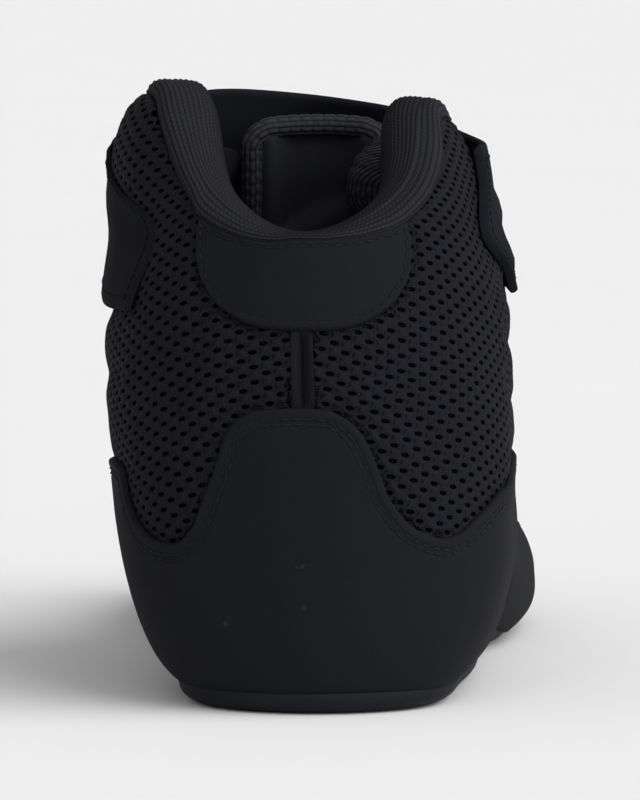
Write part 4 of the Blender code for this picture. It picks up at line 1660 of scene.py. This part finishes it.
    def vamp(self) -> None:
        """The mesh over the forefoot, its two halves meeting on the ridge in front of the throat."""
        stations = np.linspace(-self.vamp_last, self.vamp_last, 401)
        edge = self.form.edge(stations)
        start = np.maximum(self.rand.top(stations) - self.tuck, 1.0)[:, None]
        reach = start + (edge[:, None] - start) * np.linspace(0.0, 1.0, 70)
        spots = self.form.plane(stations[:, None], reach)
        sewn = distance_to(self.rand.outline()[40:-40], spots)
        open_edge = self.form.THROAT.at(self.form.from_toe(stations)) > 0.0
        rim = np.where(open_edge[:, None], edge[:, None] - reach, 20.0)
        swell = 0.7 * smooth(0.0, 7.0, sewn) * smooth(0.0, 6.0, rim)
        flat, _ = Ribs(self.form, stations).set_on(reach, 0.0)
        across, ahead = flat[..., 0] - self.form.rows[4, 2] * self.form.BALL_WIDTH, flat[..., 1]
        flex = np.zeros(reach.shape)
        for y, slant, width, depth in self.flexes:
            away = (ahead - y - slant * across + 0.004 * across ** 2) / width
            flex -= depth * np.exp(-away ** 2) * np.exp(-(across / 26.0) ** 2)
        lift = swell + flex + self.form.fullness(stations[:, None], reach)
        lift[:, -1] = np.where(open_edge, -0.5, lift[:, -1])
        points, normals = Ribs(self.form, stations).set_on(reach, lift)
        net = Net(points, normals, self.unroll(flat), MeshCloth())
        self.bench.hand_over(net.build(self.bench, "vamp_mesh"), MeshCloth(), "mesh")


@dataclass
class Collar(Work):
    """The padded knit roll round the ankle opening."""

    first: float = 6.72
    last_station: float = 13.28
    heart: float = -4.2
    ridge: float = 0.13
    taper: float = 0.06
    height: Line = Line((7.0, 1.6), (8.2, 1.6), (8.9, 1.2), (9.3, 0.95), (9.7, 0.75), (10.0, 0.7),
                        (10.3, 0.75), (10.7, 0.95), (11.2, 1.2), (11.9, 1.7), (13.2, 1.85))
    section: tuple = (
        (0.2, 0.0), (1.0, 1.2), (0.3, 3.0), (-3.4, 5.2), (-8.2, 6.3), (-12.8, 4.4), (-15.7, -0.6),
        (-16.0, -7.0), (-14.6, -15.0), (-11.0, -25.0), (-5.6, -33.0), (-3.9, -33.5), (-3.8, -16.0),
        (-3.8, 0.0),
    )

    def profile(self, pitch: float) -> Array:
        """The section's outline, smooth and evenly spaced, each second point raised as a rib.

        Args:
            pitch: Distance between points.

        Returns:
            The outline, n by 2.
        """
        rows = np.array(self.section)
        rows = np.concatenate((rows, rows[:1]))
        step = travel(rows)
        slope = np.empty_like(rows)
        slope[1:-1] = (rows[2:] - rows[:-2]) / (step[2:] - step[:-2])[:, None]
        slope[0] = slope[-1] = 0.0
        fine = np.linspace(0.0, step[-1], 1200)
        k = np.clip(np.searchsorted(step, fine, side="right") - 1, 0, len(rows) - 2)
        wide = (step[k + 1] - step[k])[:, None]
        b = (fine - step[k])[:, None] / wide
        curve = hermite(rows[k], wide * slope[k], rows[k + 1], wide * slope[k + 1], b)
        even = spread(curve, pitch)
        ribbed = beside(even, self.ridge)
        ribbed[1::2] = beside(even, -self.ridge)[1::2]
        ribbed[-1] = ribbed[0]
        return ribbed

    def build(self) -> None:
        """Sweep the section round the opening."""
        share = np.linspace(0.0, 1.0, 260)
        stations = self.first + share * (self.last_station - self.first)
        knit = RibKnit()
        outline = self.profile(0.5 * knit.rib)
        end = np.clip(np.minimum(share, 1.0 - share) / self.taper, 0.0, 1.0)
        full = np.sqrt(np.clip(1.0 - (1.0 - end) ** 2, 0.02, 1.0))[:, None]
        out = self.heart + (outline[:, 0] - self.heart) * full
        lean = np.clip((outline[:, 0] + 6.0) / 6.0, 0.0, 1.0)
        hang = 1.0 - smooth(1.0, 6.0, outline[:, 1] + np.maximum(0.0, -1.0 - outline[:, 0]))
        tall = full * self.height.at(stations)[:, None]
        up = outline[:, 1] * np.where(outline[:, 1] > 0.0, tall, full) + hang * SEAM.at(stations)[:, None]
        ribs = Ribs(self.form, stations)
        round_top = self.form.around(stations)[:, None]
        soft = np.clip((self.heart - outline[:, 0]) / 6.0, 0.0, 1.0) + 0.25
        lumps = 0.45 * np.sin(round_top / 11.0) * np.sin(outline[:, 1] / 6.0 + round_top / 19.0)
        stuffed = 0.6 * lean * self.form.fullness(stations[:, None], ribs.length[:, None] + 4.0)
        points, _ = ribs.set_on(ribs.length[:, None] + up, out + soft * lumps + stuffed)
        trip = 0.5 * knit.rib * np.arange(len(outline))
        piece = self.bench.sheet("collar", points, np.stack(np.broadcast_arrays(round_top, trip), axis=-1))
        self.bench.close(piece)
        self.bench.hand_over(piece, knit, "knit", "collar_lining")


@dataclass
class Tongue(Work):
    """The padded tongue under the throat: sunk middle, stuffed border, a rolled binding round its top."""

    first: float = 3.15
    last_station: float = 6.0
    half: float = 27.0
    top_half: float = 16.8
    long: float = 128.0
    under: float = -3.8
    thick: float = 4.4
    bow: float = 5.0
    drift: float = 2.4
    bent: float = 0.84
    stand: float = 17.0
    swell: float = 5.7
    upright: tuple = (0.0, -0.22, 0.975)

    def half_at(self, v: Number) -> Array:
        """Half the tongue's width along it."""
        return self.half + smooth(0.35, 0.75, v) * (self.top_half - self.half)

    def on_last(self, aside: Array, v: Array, depth: Array) -> Array:
        """Places under the wall at distances to the side of the ridge.

        Args:
            aside: Distances to the side, outer side positive.
            v: Shares along the tongue.
            depth: Distances below its outer face.

        Returns:
            The places.
        """
        near = self.first + v * (self.last_station - self.first)
        station = np.where(aside <= 0.0, near, self.form.ROUND - near).ravel()
        reach = self.form.length(station) - np.abs(aside).ravel()
        points, _ = Ribs(self.form, station).set_on(reach[:, None], (self.under - depth).reshape(-1, 1))
        return points.reshape(*aside.shape, 3)

    def set_in(self, aside: Array, v: Array, depth: Array) -> Array:
        """Places on the tongue: under the wall below, and on an even bow of its own towards the top.

        Args:
            aside: Distances to the side, outer side positive.
            v: Shares along the tongue.
            depth: Distances below its outer face.

        Returns:
            The places.
        """
        fine = np.linspace(0.0, 1.0, 201)
        zero = np.zeros_like(fine)
        spine = self.on_last(zero, fine, zero)
        spine[:, 0] = spine[-40:, 0].mean() + self.drift * smooth(0.5, 0.9, fine)
        k = int(round(self.bent * 200))
        leave = unit(spine[k] - spine[k - 1])
        turned = smooth(self.bent, 0.93, fine[k + 1:])[:, None]
        steps = (1.0 - turned) * leave + turned * np.array(self.upright)
        spine[k + 1:] = spine[k] + np.cumsum(steps, axis=0) * self.stand / len(steps)
        way = unit(np.gradient(spine, axis=0))
        out = np.stack((zero, -way[:, 2], way[:, 1]), axis=1) * -1.0
        out *= np.sign(out[:, 1:2] + out[:, 2:3])
        middle = np.stack([np.interp(v, fine, spine[:, k]) for k in range(3)], axis=-1)
        facing = np.stack([np.interp(v, fine, out[:, k]) for k in range(3)], axis=-1)
        sink = depth + self.bow * (aside / self.top_half) ** 2
        arc = middle + aside[..., None] * np.array((1.0, 0.0, 0.0)) - sink[..., None] * facing
        free = smooth(0.45, 0.78, v)[..., None]
        return (1.0 - free) * self.on_last(aside, v, depth) + free * arc

    def stuffing(self, aside: Array, v: Array) -> Array:
        """Thickness of the pad: border full, middle sunk, a soft fold low down.

        Args:
            aside: Distances to the side.
            v: Shares along the tongue.

        Returns:
            The thickness.
        """
        half = self.half_at(v)
        side = half - np.abs(aside)
        rim = np.minimum(side, (1.0 - v) * self.long + 3.0)
        upper = smooth(0.45, 0.6, v)
        border = 2.0 * np.exp(-((rim - 4.6) / 2.4) ** 2) - 1.4 * smooth(5.5, 11.0, rim)
        fold = 3.4 * (1.0 - smooth(-0.012, 0.012, v - 0.80 - 0.0035 * aside))
        return self.thick + upper * (border + fold * smooth(0.5, 0.62, v))

    def crown(self, aside: Array, v: Array) -> Array:
        """How far the pad swells up between the lace panels."""
        along = smooth(0.1, 0.22, v) * (1.0 - smooth(0.66, 0.8, v))
        return self.swell * along * (1.0 - smooth(5.5, 11.0, np.abs(aside)))

    def build(self) -> None:
        """Make the pad and its binding."""
        v = np.linspace(0.0, 0.985, 150)
        turn = np.linspace(0.0, 2.0 * math.pi, 121)
        c, s = np.cos(turn), np.sin(turn)
        across = np.sign(c) * np.abs(c) ** 0.6
        swing = np.sign(s) * np.abs(s) ** 0.5
        wide, along = np.meshgrid(across, v)
        aside = wide * self.half_at(along)
        close = np.sqrt(np.clip(1.0 - ((along - 0.955) / 0.03).clip(0.0, 1.0) ** 2, 0.02, 1.0))
        full = self.stuffing(aside, along)
        half = 0.5 * self.thick
        depth = half - swing[None] * close * np.where(swing > 0.0, half, full - half)
        depth = depth - self.crown(aside, along) * np.maximum(swing, 0.0)[None]
        points = self.set_in(aside, along, depth)
        piece = self.bench.sheet("tongue_pad", points, np.stack((aside, along * self.long), axis=-1))
        self.bench.close(piece)
        # Painted light: the tongue cloth is made much lighter than the lining, standing in for light that
        # barely reaches the tongue inside the opening.
        cloth = Weave(name="tongue_cloth_painted_light", thread=0.7, dark=(0.010, 0.0104, 0.0140),
                      light=(0.024, 0.0248, 0.0305), depth=0.08)
        self.bench.hand_over(piece, cloth, "mesh", "tongue")
        self.bind()

    def bind(self) -> None:
        """The rolled binding up one side, over the top and down the other."""
        half, top, low = self.top_half, 0.985 * self.long, 0.60 * self.long
        inner, outer = 6.0, 7.0
        turn = np.linspace(0.0, math.pi / 2.0, 24)
        left = np.stack((np.full(60, -half), np.linspace(low, top - inner, 60)), axis=1)
        first = np.stack((-half + inner - inner * np.cos(turn), top - inner + inner * np.sin(turn)), axis=1)
        second = np.stack((half - outer + outer * np.sin(turn), top - outer + outer * np.cos(turn)), axis=1)
        right = np.stack((np.full(60, half), np.linspace(top - outer, low, 60)), axis=1)
        flat = spread(np.concatenate((left, first, second, right)), 0.4)
        along = flat[:, 1] / self.long
        lobe = smooth(0.78, 0.85, along) * (1.0 - smooth(0.87, 0.98, along))
        lobe = smooth(half - 3.0, half, flat[:, 0]) * lobe
        flat[:, 0] -= 3.4 * lobe
        depth = 0.62 * self.thick + 4.6 * lobe
        path = self.set_in(flat[:, 0], along, depth)
        deeper = self.set_in(flat[:, 0], along, depth + 1.0)
        outs = path - deeper
        phase = np.mod(np.arange(len(path)) * 0.4 / 3.0, 1.0)
        notch = 1.0 - 0.08 * np.exp(-((phase - 0.5) / 0.12) ** 2)
        broad = 1.0 + 1.4 * lobe
        points, chart = sweep(path, outs, oval(5.6, 5.6, 24), np.stack((notch * broad, notch), axis=1))
        chart[..., 1] *= broad[:, None]
        piece = self.bench.sheet("tongue_binding", points, chart)
        self.bench.close(piece)
        knit = RibKnit(name="binding_knit", rib=1.5, loop=3.0, valley=(0.012, 0.0122, 0.015),
                       crest=(0.036, 0.037, 0.043))
        self.bench.hand_over(piece, knit, "knit")


@dataclass
class AnkleStrap(Work):
    """The wide strap across the front of the ankle, sewn down flush inside and closing on the outer side."""

    thick: float = 2.2
    flush: float = 1.0
    low_ring: float = 96.0
    high_ring: float = 124.0
    columns: int = 260
    rows: tuple = (
        (-1.3, 92.0, 127.5, 0.5), (-1.0, 92.0, 129.0, 0.6), (-0.7, 94.5, 132.0, 1.0),
        (-0.45, 98.0, 138.5, 4.6), (-0.22, 101.5, 140.6, 9.5), (0.0, 102.5, 139.2, 8.8),
        (0.22, 101.5, 136.2, 10.1), (0.45, 99.0, 133.0, 6.0), (0.7, 97.0, 129.5, 2.2),
        (1.0, 94.0, 128.0, 1.6),
    )
    sewn_end: Line = Line((0.0, 8.70), (0.5, 8.84), (1.0, 7.75))
    inner_tip: Line = Line((0.0, 7.85), (0.35, 8.15), (1.0, 7.55))
    outer_tip: Line = Line((0.0, 7.35), (0.42, 8.35), (1.0, 7.75))

    def station(self, share: float, v: float, start: float) -> float:
        """Stations from the toe at a share of the strap's length and of its height.

        Args:
            share: Share of the length, inner side negative.
            v: Share of the height.
            start: Station at the ridge.

        Returns:
            The station.
        """
        if share < -1.0:
            return float(self.sewn_end.at(v))
        tip = float((self.inner_tip if share <= 0 else self.outer_tip).at(v))
        return start + abs(share) * (tip - start)

    def ring(self, share: float, v: float, height: float) -> tuple[Array, Array]:
        """A place on a level loop round the front of the ankle and its outward direction.

        Args:
            share: Share of the length.
            v: Share of the height.
            height: The loop's height.

        Returns:
            The place and the direction.
        """
        stations = np.linspace(3.0, self.form.RIDGE, 400)
        crowns = self.form.handles(stations)[:, 3, 2]
        near = self.station(share, v, float(np.interp(height, crowns, stations)))
        pair = np.array((near, self.form.ROUND - near))
        ribs = Ribs(self.form, pair if share <= 0 else pair[::-1])
        along = ribs.share_at_height(height)[:, None]
        normals = ribs.facing(along)[:, 0]
        normal = normals[0] + normals[1] if abs(share) < 0.02 else normals[0]
        normal = normal * (1.0, 1.0, 0.0)
        return Ribs.along(ribs.curve, along)[0, 0], unit(normal)

    def points_at(self, v: float) -> Array:
        """The strap's set places at a share of its height.

        Args:
            v: Share of the height.

        Returns:
            The places, n by 3.
        """
        places = []
        for share, low, high, lift in self.rows:
            below, below_out = self.ring(share, v, self.low_ring)
            above, above_out = self.ring(share, v, self.high_ring)
            blend = (low + v * (high - low) - self.low_ring) / (self.high_ring - self.low_ring)
            out = below_out + above_out
            if share < -0.6:
                near = self.station(share, v, self.form.RIDGE)
                lift = lift + float(self.form.fullness(near, low + v * (high - low) + 3.0))
            places.append(below + blend * (above - below) + unit(out) * lift)
        return np.array(places)

    def surface(self, share: Array, rows: int) -> Array:
        """Places over the strap's inner face, columns by rows by 3.

        Args:
            share: Shares of the length.
            rows: Number of rows up it.

        Returns:
            The places.
        """
        keys = np.array([row[0] for row in self.rows])
        steps = np.diff(keys)[:, None]
        k = np.clip(np.searchsorted(keys, share, side="right") - 1, 0, len(keys) - 2)
        step = steps[k]
        b = (share - keys[k])[:, None] / step
        bands = []
        for v in np.linspace(0.0, 1.0, 13):
            points = self.points_at(float(v))
            runs = np.diff(points, axis=0) / steps
            slopes = np.empty_like(points)
            slopes[1:-1] = (runs[:-1] * steps[1:] + runs[1:] * steps[:-1]) / (steps[1:] + steps[:-1])
            slopes[0] = 1.5 * runs[0] - 0.5 * slopes[1]
            slopes[-1] = 1.5 * runs[-1] - 0.5 * slopes[-2]
            bands.append(hermite(points[k], step * slopes[k], points[k + 1], step * slopes[k + 1], b))
        bands = np.array(bands)
        fine = np.linspace(0.0, len(bands) - 1.0, rows)
        low = np.clip(fine.astype(int), 0, len(bands) - 2)
        part = (fine - low)[:, None, None]
        return np.swapaxes(bands[low] * (1.0 - part) + bands[low + 1] * part, 0, 1)

    def build(self) -> None:
        """Make the band and sew its edges."""
        share = np.linspace(self.rows[0][0], self.rows[-1][0], self.columns)
        count = 41
        points = self.surface(share, count)
        around = np.gradient(points, axis=0)
        upward = np.gradient(points, axis=1)
        outs = unit(np.cross(upward, around))
        v = np.linspace(0.0, 1.0, count)[None]
        wave = 0.5 * np.sin(5.5 * share[:, None] + 2.4 * v) + 0.35 * np.sin(11.0 * share[:, None] - 1.7)
        lift = wave * (1.0 - smooth(0.6, 0.9, np.abs(share)))[:, None]
        points = points + lift[..., None] * outs
        thick = self.flush + (self.thick - self.flush) * smooth(-0.95, -0.55, share)
        end = np.minimum(share - share[0], share[-1] - share) * 60.0
        thick = thick * np.sqrt(np.clip(1.0 - (1.0 - np.clip(end / 1.1, 0.0, 1.0)) ** 2, 0.0009, 1.0))
        half = 0.5 * thick[:, None]
        inner = [points[:, k] for k in range(count)]
        outer = [points[:, k] + outs[:, k] * thick[:, None] for k in range(count)]
        rise = unit(upward)
        over, under = [], []
        for turn in np.linspace(0.0, math.pi, 7)[1:-1]:
            c, s = math.cos(turn), math.sin(turn)
            over.append(points[:, -1] + outs[:, -1] * half * (1.0 - c) + rise[:, -1] * half * s)
            under.append(points[:, 0] + outs[:, 0] * half * (1.0 + c) - rise[:, 0] * half * s)
        ring = np.stack(inner + over + outer[::-1] + under + inner[:1], axis=1)
        far = np.cumsum(np.linalg.norm(np.gradient(ring, axis=0), axis=2), axis=0)
        level = np.concatenate((np.linspace(0.0, 40.0, count), np.full(5, 43.0),
                                np.linspace(46.0, 86.0, count), np.full(6, 87.0)))
        tall = np.broadcast_to(level, far.shape)
        piece = self.bench.sheet("strap_band", ring, np.stack((far, tall), axis=-1))
        self.bench.close(piece)
        self.bench.hand_over(piece, StrapCloth(), "webbing", "ankle_strap", crisp=70.0)
        raised = points + outs * (thick[:, None, None] + 0.08)
        edge = 5
        thread = Thread(name="strap_thread", dark=(0.0022, 0.0023, 0.0030),
                        light=(0.0055, 0.0057, 0.0070), gloss=0.03)
        rows = {"low": (slice(edge, -edge), 3), "high": (slice(edge, -edge), -4),
                "inner": (edge, slice(3, -3)), "outer": (-edge - 1, slice(3, -3))}
        small = Stitch(2.0, 0.45, 0.3, 2.6)
        for name, where in rows.items():
            row = self.bench.stitches(f"strap_stitches_{name}", raised[where], outs[where], small)
            self.bench.hand_over(row, thread, "cord")


@dataclass
class Lacing(Work):
    """The flat lace, criss-crossed between six pairs of eyelets."""

    pairs: int = 6
    first: float = 3.75
    last_station: float = 5.66
    setback: float = 8.0
    wide: float = 5.6
    thick: float = 1.3
    lift: float = 2.6
    eyelet: float = 2.5
    rim: float = 0.75
    proud: float = 1.25

    def levels(self) -> Array:
        """Stations of the eyelets."""
        return np.linspace(self.first, self.last_station, self.pairs)

    def hole(self, level: float, side: Side) -> tuple[float, float]:
        """Station of an eyelet and its distance up the rib.

        Args:
            level: Stations from the toe.
            side: The side.

        Returns:
            The two numbers.
        """
        station = level if side is Side.INNER else self.form.ROUND - level
        gap = float(self.form.THROAT.at(level)) + self.setback
        return station, float(self.form.length(station)[0]) - gap

    def run(self, start: float, end: float, side: Side, over: float) -> tuple[Array, Array]:
        """Places and directions of the lace from an eyelet on one side to one on the other.

        Args:
            start: Stations from the toe of the first eyelet.
            end: The same of the second.
            side: The side it starts on.
            over: Extra lift where it crosses over.

        Returns:
            Places and directions, each n by 3.
        """
        share = np.linspace(0.0, 1.0, 41)
        across = 1.0 - 2.0 * share
        level = start + share * (end - start)
        own = (across >= 0.0) == (side is Side.INNER)
        station = np.where(own, level, self.form.ROUND - level)
        gap = self.form.THROAT.at(level) + self.setback
        reach = self.form.length(station) - np.abs(across) * gap
        dip = 1.0 - smooth(0.78, 1.0, np.abs(across))
        lift = 0.2 + (self.lift + over * (1.0 - across ** 2)) * dip
        points, normals = self.form.on_wall(station, reach, lift)
        kernel = np.hanning(11) / np.hanning(11).sum()
        for values in (points, normals):
            held = np.concatenate((np.repeat(values[:1], 5, 0), values, np.repeat(values[-1:], 5, 0)))
            values[:] = np.stack([np.convolve(held[:, k], kernel, "valid") for k in range(3)], axis=1)
        return points, normals

    def build(self) -> None:
        """Make the lace and the eyelets."""
        levels = self.levels()
        runs = [self.run(levels[0], levels[0], Side.INNER, 0.0)]
        for low, high in zip(levels[:-1], levels[1:]):
            runs.append(self.run(low, high, Side.INNER, 0.2))
            runs.append(self.run(low, high, Side.OUTER, 1.7))
        bands = []
        for k, (path, outs) in enumerate(runs):
            points, chart = sweep(path, outs, oval(self.wide, self.thick, 16, 0.6))
            band = self.bench.sheet(f"lace_run_{k}", points, chart)
            self.bench.close(band)
            bands.append(band)
        lace = self.bench.join("lace_runs", bands)
        braid = Weave(name="lace_braid", thread=1.3, light=(0.022, 0.022, 0.025), depth=0.25)
        self.bench.hand_over(lace, braid, "cord", "lace")
        rings = [self.ring(level, side) for level in levels for side in Side]
        self.bench.hand_over(self.bench.join("eyelets", rings), SoleRubber(name="eyelet_lacquer"), "rubber")

    def ring(self, level: float, side: Side) -> Object:
        """One eyelet's rim, set square on the panel.

        Args:
            level: Stations from the toe.
            side: The side.

        Returns:
            The rim.
        """
        station, reach = self.hole(level, side)
        points, normals = self.form.on_wall(np.array((station,)), np.array((reach,)), self.proud)
        bpy.ops.object.select_all(action="DESELECT")
        bpy.ops.mesh.primitive_torus_add(major_radius=self.eyelet * MM, minor_radius=self.rim * MM,
                                         major_segments=24, minor_segments=8, location=(0.0, 0.0, 0.0))
        made = bpy.context.active_object
        made.rotation_euler = Vector(normals[0]).to_track_quat("Z", "Y").to_euler()
        made.location = Vector((points[0] + self.bench.shift) * MM)
        self.bench.pick(made)
        bpy.ops.object.transform_apply(location=True, rotation=True, scale=True)
        return made


@dataclass
class Sole(Work):
    """The thin moulded outsole with its rolled edge and fine tread, and the footbed inside."""

    wall: tuple = (
        (9.0, 0.0, 0.0), (5.6, 0.05, 0.0), (3.4, 0.45, 0.0), (1.9, 1.1, 0.0), (0.9, 1.9, 0.0),
        (0.35, 0.0, 0.55), (0.12, 0.0, 0.70), (0.0, 0.0, 0.80), (0.0, 0.0, 0.88), (0.06, 0.15, 0.96),
        (0.25, 0.45, 1.0), (0.5, 0.55, 1.0), (0.9, 0.45, 1.0), (1.5, 0.0, 1.0), (3.0, 0.0, 1.0),
        (9.0, 0.0, 1.0),
    )
    groove: float = 0.55
    groove_pitch: float = 6.5
    zigzag_wide: float = 9.0
    zigzag_deep: float = 5.2
    margin: float = 9.0
    inset: float = 4.2
    footbed: float = 4.0

    def build(self) -> None:
        """Make the outsole and the footbed."""
        self.outsole()
        self.insole()

    def outsole(self) -> None:
        """Underside with tread, rounded wall and upper face as one closed skin."""
        stations = np.linspace(0.0, 20.0, 481)
        foot, out = self.form.feather(stations)
        edge = foot + out * self.form.SOLE_LIP
        middle = self.form.middle_by(stations)
        inward = middle - edge
        far = np.linalg.norm(inward, axis=1)[:, None]
        inward = inward / far
        columns = []
        for share in np.linspace(0.0, 1.0, 44)[:-1]:
            spot = middle + (edge + inward * np.minimum(self.margin, 0.8 * far) - middle) * share
            columns.append(self.tread(spot))
        for inset, rise, part in self.wall:
            spot = edge + inward * np.minimum(inset, 0.8 * far)
            bottom = self.form.underside(spot[:, 1])
            height = bottom + rise + part * (self.form.sole_top(spot[:, 1]) - bottom)
            columns.append(np.concatenate((spot, height[:, None]), axis=1))
        columns.append(np.concatenate((middle, self.form.sole_top(middle[:, 1])[:, None]), axis=1))
        points = np.stack(columns, axis=1)
        piece = self.bench.sheet("sole_rubber", points)
        self.bench.close(piece)
        self.bench.hand_over(piece, SoleRubber(), "rubber", "outsole", crisp=50.0)

    def tread(self, spot: Array) -> Array:
        """Places on the underside, cut with shallow zigzag grooves.

        Args:
            spot: Places in plan, n by 2.

        Returns:
            The places, n by 3.
        """
        x, y = spot[:, 0], spot[:, 1]
        zigzag = y + self.zigzag_deep * np.abs(np.mod(x / self.zigzag_wide, 2.0) - 1.0)
        cut = smooth(0.62, 0.86, np.abs(np.mod(zigzag / self.groove_pitch, 1.0) - 0.5) * 2.0)
        waist = smooth(86.0, 100.0, y) * (1.0 - smooth(136.0, 150.0, y))
        height = self.form.underside(y) + self.groove * cut * (1.0 - waist)
        return np.concatenate((spot, height[:, None]), axis=1)

    def insole(self) -> None:
        """The footbed, its rim turned up."""
        edge, thick = self.inset, self.footbed
        rows = ((None, 0.0), (edge, 0.0), (edge - 0.5, 1.0), (edge - 0.5, 2.6), (edge, thick),
                (edge + 1.5, thick + 0.2), (edge + 4.0, thick - 0.3), (edge + 8.0, thick - 0.8),
                (None, thick - 1.0))
        stations = np.linspace(0.0, 20.0, 321)
        foot, out = self.form.feather(stations)
        middle = self.form.middle_by(stations)
        columns = []
        for inset, rise in rows:
            spot = middle if inset is None else foot - out * inset
            height = self.form.sole_top(spot[:, 1]) + 0.45 + rise
            columns.append(np.concatenate((spot, height[:, None]), axis=1))
        points = np.stack(columns, axis=1)
        piece = self.bench.sheet("footbed", points, points[..., :2])
        self.bench.close(piece)
        cloth = Weave(name="footbed_cloth", thread=1.0, light=(0.016, 0.016, 0.018))
        self.bench.hand_over(piece, cloth, "foam", "insole", crisp=50.0)


# The studio


@dataclass
class Studio:
    """Floor, light and camera."""

    eye: tuple = (0.0390, -1.4411, 0.165)
    yaw: float = 4.0
    aside: float = 0.042
    drop: float = -0.0708
    lens: float = 256.0
    sky: float = 0.42
    key: float = 2.9
    aim: tuple = (-0.75, 0.35, -0.55)
    breadth: float = 75.0
    fill: float = 0.55
    fill_aim: tuple = (0.05, 0.88, -0.47)
    fill_breadth: float = 50.0
    floor_size: float = 4000.0

    def build(self) -> None:
        """Set up the studio."""
        bpy.context.scene.view_settings.view_transform = "Standard"
        self.floor()
        self.light()
        self.camera()

    def floor(self) -> None:
        """A wide pale floor."""
        bpy.ops.object.select_all(action="DESELECT")
        bpy.ops.mesh.primitive_plane_add(size=self.floor_size, location=(0.0, 0.0, 0.0))
        floor = bpy.context.active_object
        floor.name = "floor"
        dye = Dye("pale floor", 0.9, 0.1)
        dye.colour(dye.noise(dye.place(), 3.0, 2.0), (0.86, 0.86, 0.86), (0.88, 0.88, 0.88))
        floor.data.materials.append(dye.material)

    def light(self) -> None:
        """Even sky, one broad soft key from the outer side and a weak fill from behind the heel."""
        world = bpy.data.worlds.new("studio")
        world.use_nodes = True
        world.node_tree.nodes["Background"].inputs["Color"].default_value = (1.0, 1.0, 1.0, 1.0)
        world.node_tree.nodes["Background"].inputs["Strength"].default_value = self.sky
        bpy.context.scene.world = world
        self.lamp("key", self.key, self.aim, self.breadth)
        self.lamp("fill", self.fill, self.fill_aim, self.fill_breadth)

    @staticmethod
    def lamp(name: str, energy: float, aim: tuple, breadth: float) -> None:
        """One far lamp of a breadth in degrees.

        Args:
            name: The lamp's name.
            energy: Its strength.
            aim: The way its light goes.
            breadth: The breadth.
        """
        lamp = bpy.data.lights.new(name, "SUN")
        lamp.energy = energy
        lamp.angle = math.radians(breadth)
        holder = bpy.data.objects.new(name, lamp)
        holder.rotation_euler = Vector(aim).to_track_quat("-Z", "Y").to_euler()
        bpy.context.scene.collection.objects.link(holder)

    def camera(self) -> None:
        """The camera behind the heel, turned a little to the inner side."""
        data = bpy.data.cameras.new("camera")
        data.lens = self.lens
        data.sensor_width = 36.0
        data.clip_start, data.clip_end = 0.05, 5000.0
        camera = bpy.data.objects.new("camera", data)
        turn = math.radians(self.yaw)
        ahead = Vector((-math.sin(turn), math.cos(turn), 0.0))
        right = Vector((math.cos(turn), math.sin(turn), 0.0))
        way = ahead + right * self.aside + Vector((0.0, 0.0, self.drop))
        camera.location = self.eye
        camera.rotation_euler = way.to_track_quat("-Z", "Y").to_euler()
        bpy.context.scene.collection.objects.link(camera)
        bpy.context.scene.camera = camera


def main() -> None:
    """Build the shoe and the studio."""
    logging.basicConfig(level=logging.INFO, format="%(name)s %(message)s")
    form = Last()
    bench = Bench(form.shift)
    sewn_edge = Line((0.0, -0.1), (0.3, 0.75), (0.8, 1.2), (2.0, 1.22), (2.7, 0.82), (3.3, 1.02), (3.9, 0.78),
                     (4.7, 1.0), (8.0, 1.0), (14.0, 1.1))
    plain_edge = Line((0.0, -0.1), (0.3, 0.65), (0.8, 1.0), (1.3, 0.98), (1.8, 0.68), (2.4, 0.9), (6.0, 1.0))
    counter = HeelCounter(form, bench, "counter_suede", "heel_counter",
                          4.8, 15.2, 420, 60, sewn_edge, (2.7, 3.9))
    tab = HeelTab(form, bench, "tab_suede", "heel_tab", 9.20, 10.80, 120, 40, plain_edge, (1.8,))
    rand = ToeRand(form, bench, "rand_suede", "toe_rand", -4.86, 4.86, 360, 44, plain_edge, (1.8,))
    inner_stay = Eyestay(form, bench, "eyestay_suede_inner", "eyestay_inner",
                         3.62, 6.6, 130, 36, plain_edge, (1.8,))
    outer_stay = Eyestay(form, bench, "eyestay_suede_outer", "eyestay_outer",
                         13.4, 16.38, 130, 36, plain_edge, (1.8,))
    Sole(form, bench).build()
    Upper(form, bench, counter, tab, rand).build()
    for overlay in (counter, tab, rand, inner_stay, outer_stay):
        overlay.build()
    Collar(form, bench).build()
    Tongue(form, bench).build()
    Lacing(form, bench).build()
    AnkleStrap(form, bench).build()
    Studio().build()


if __name__ == "__main__":
    main()
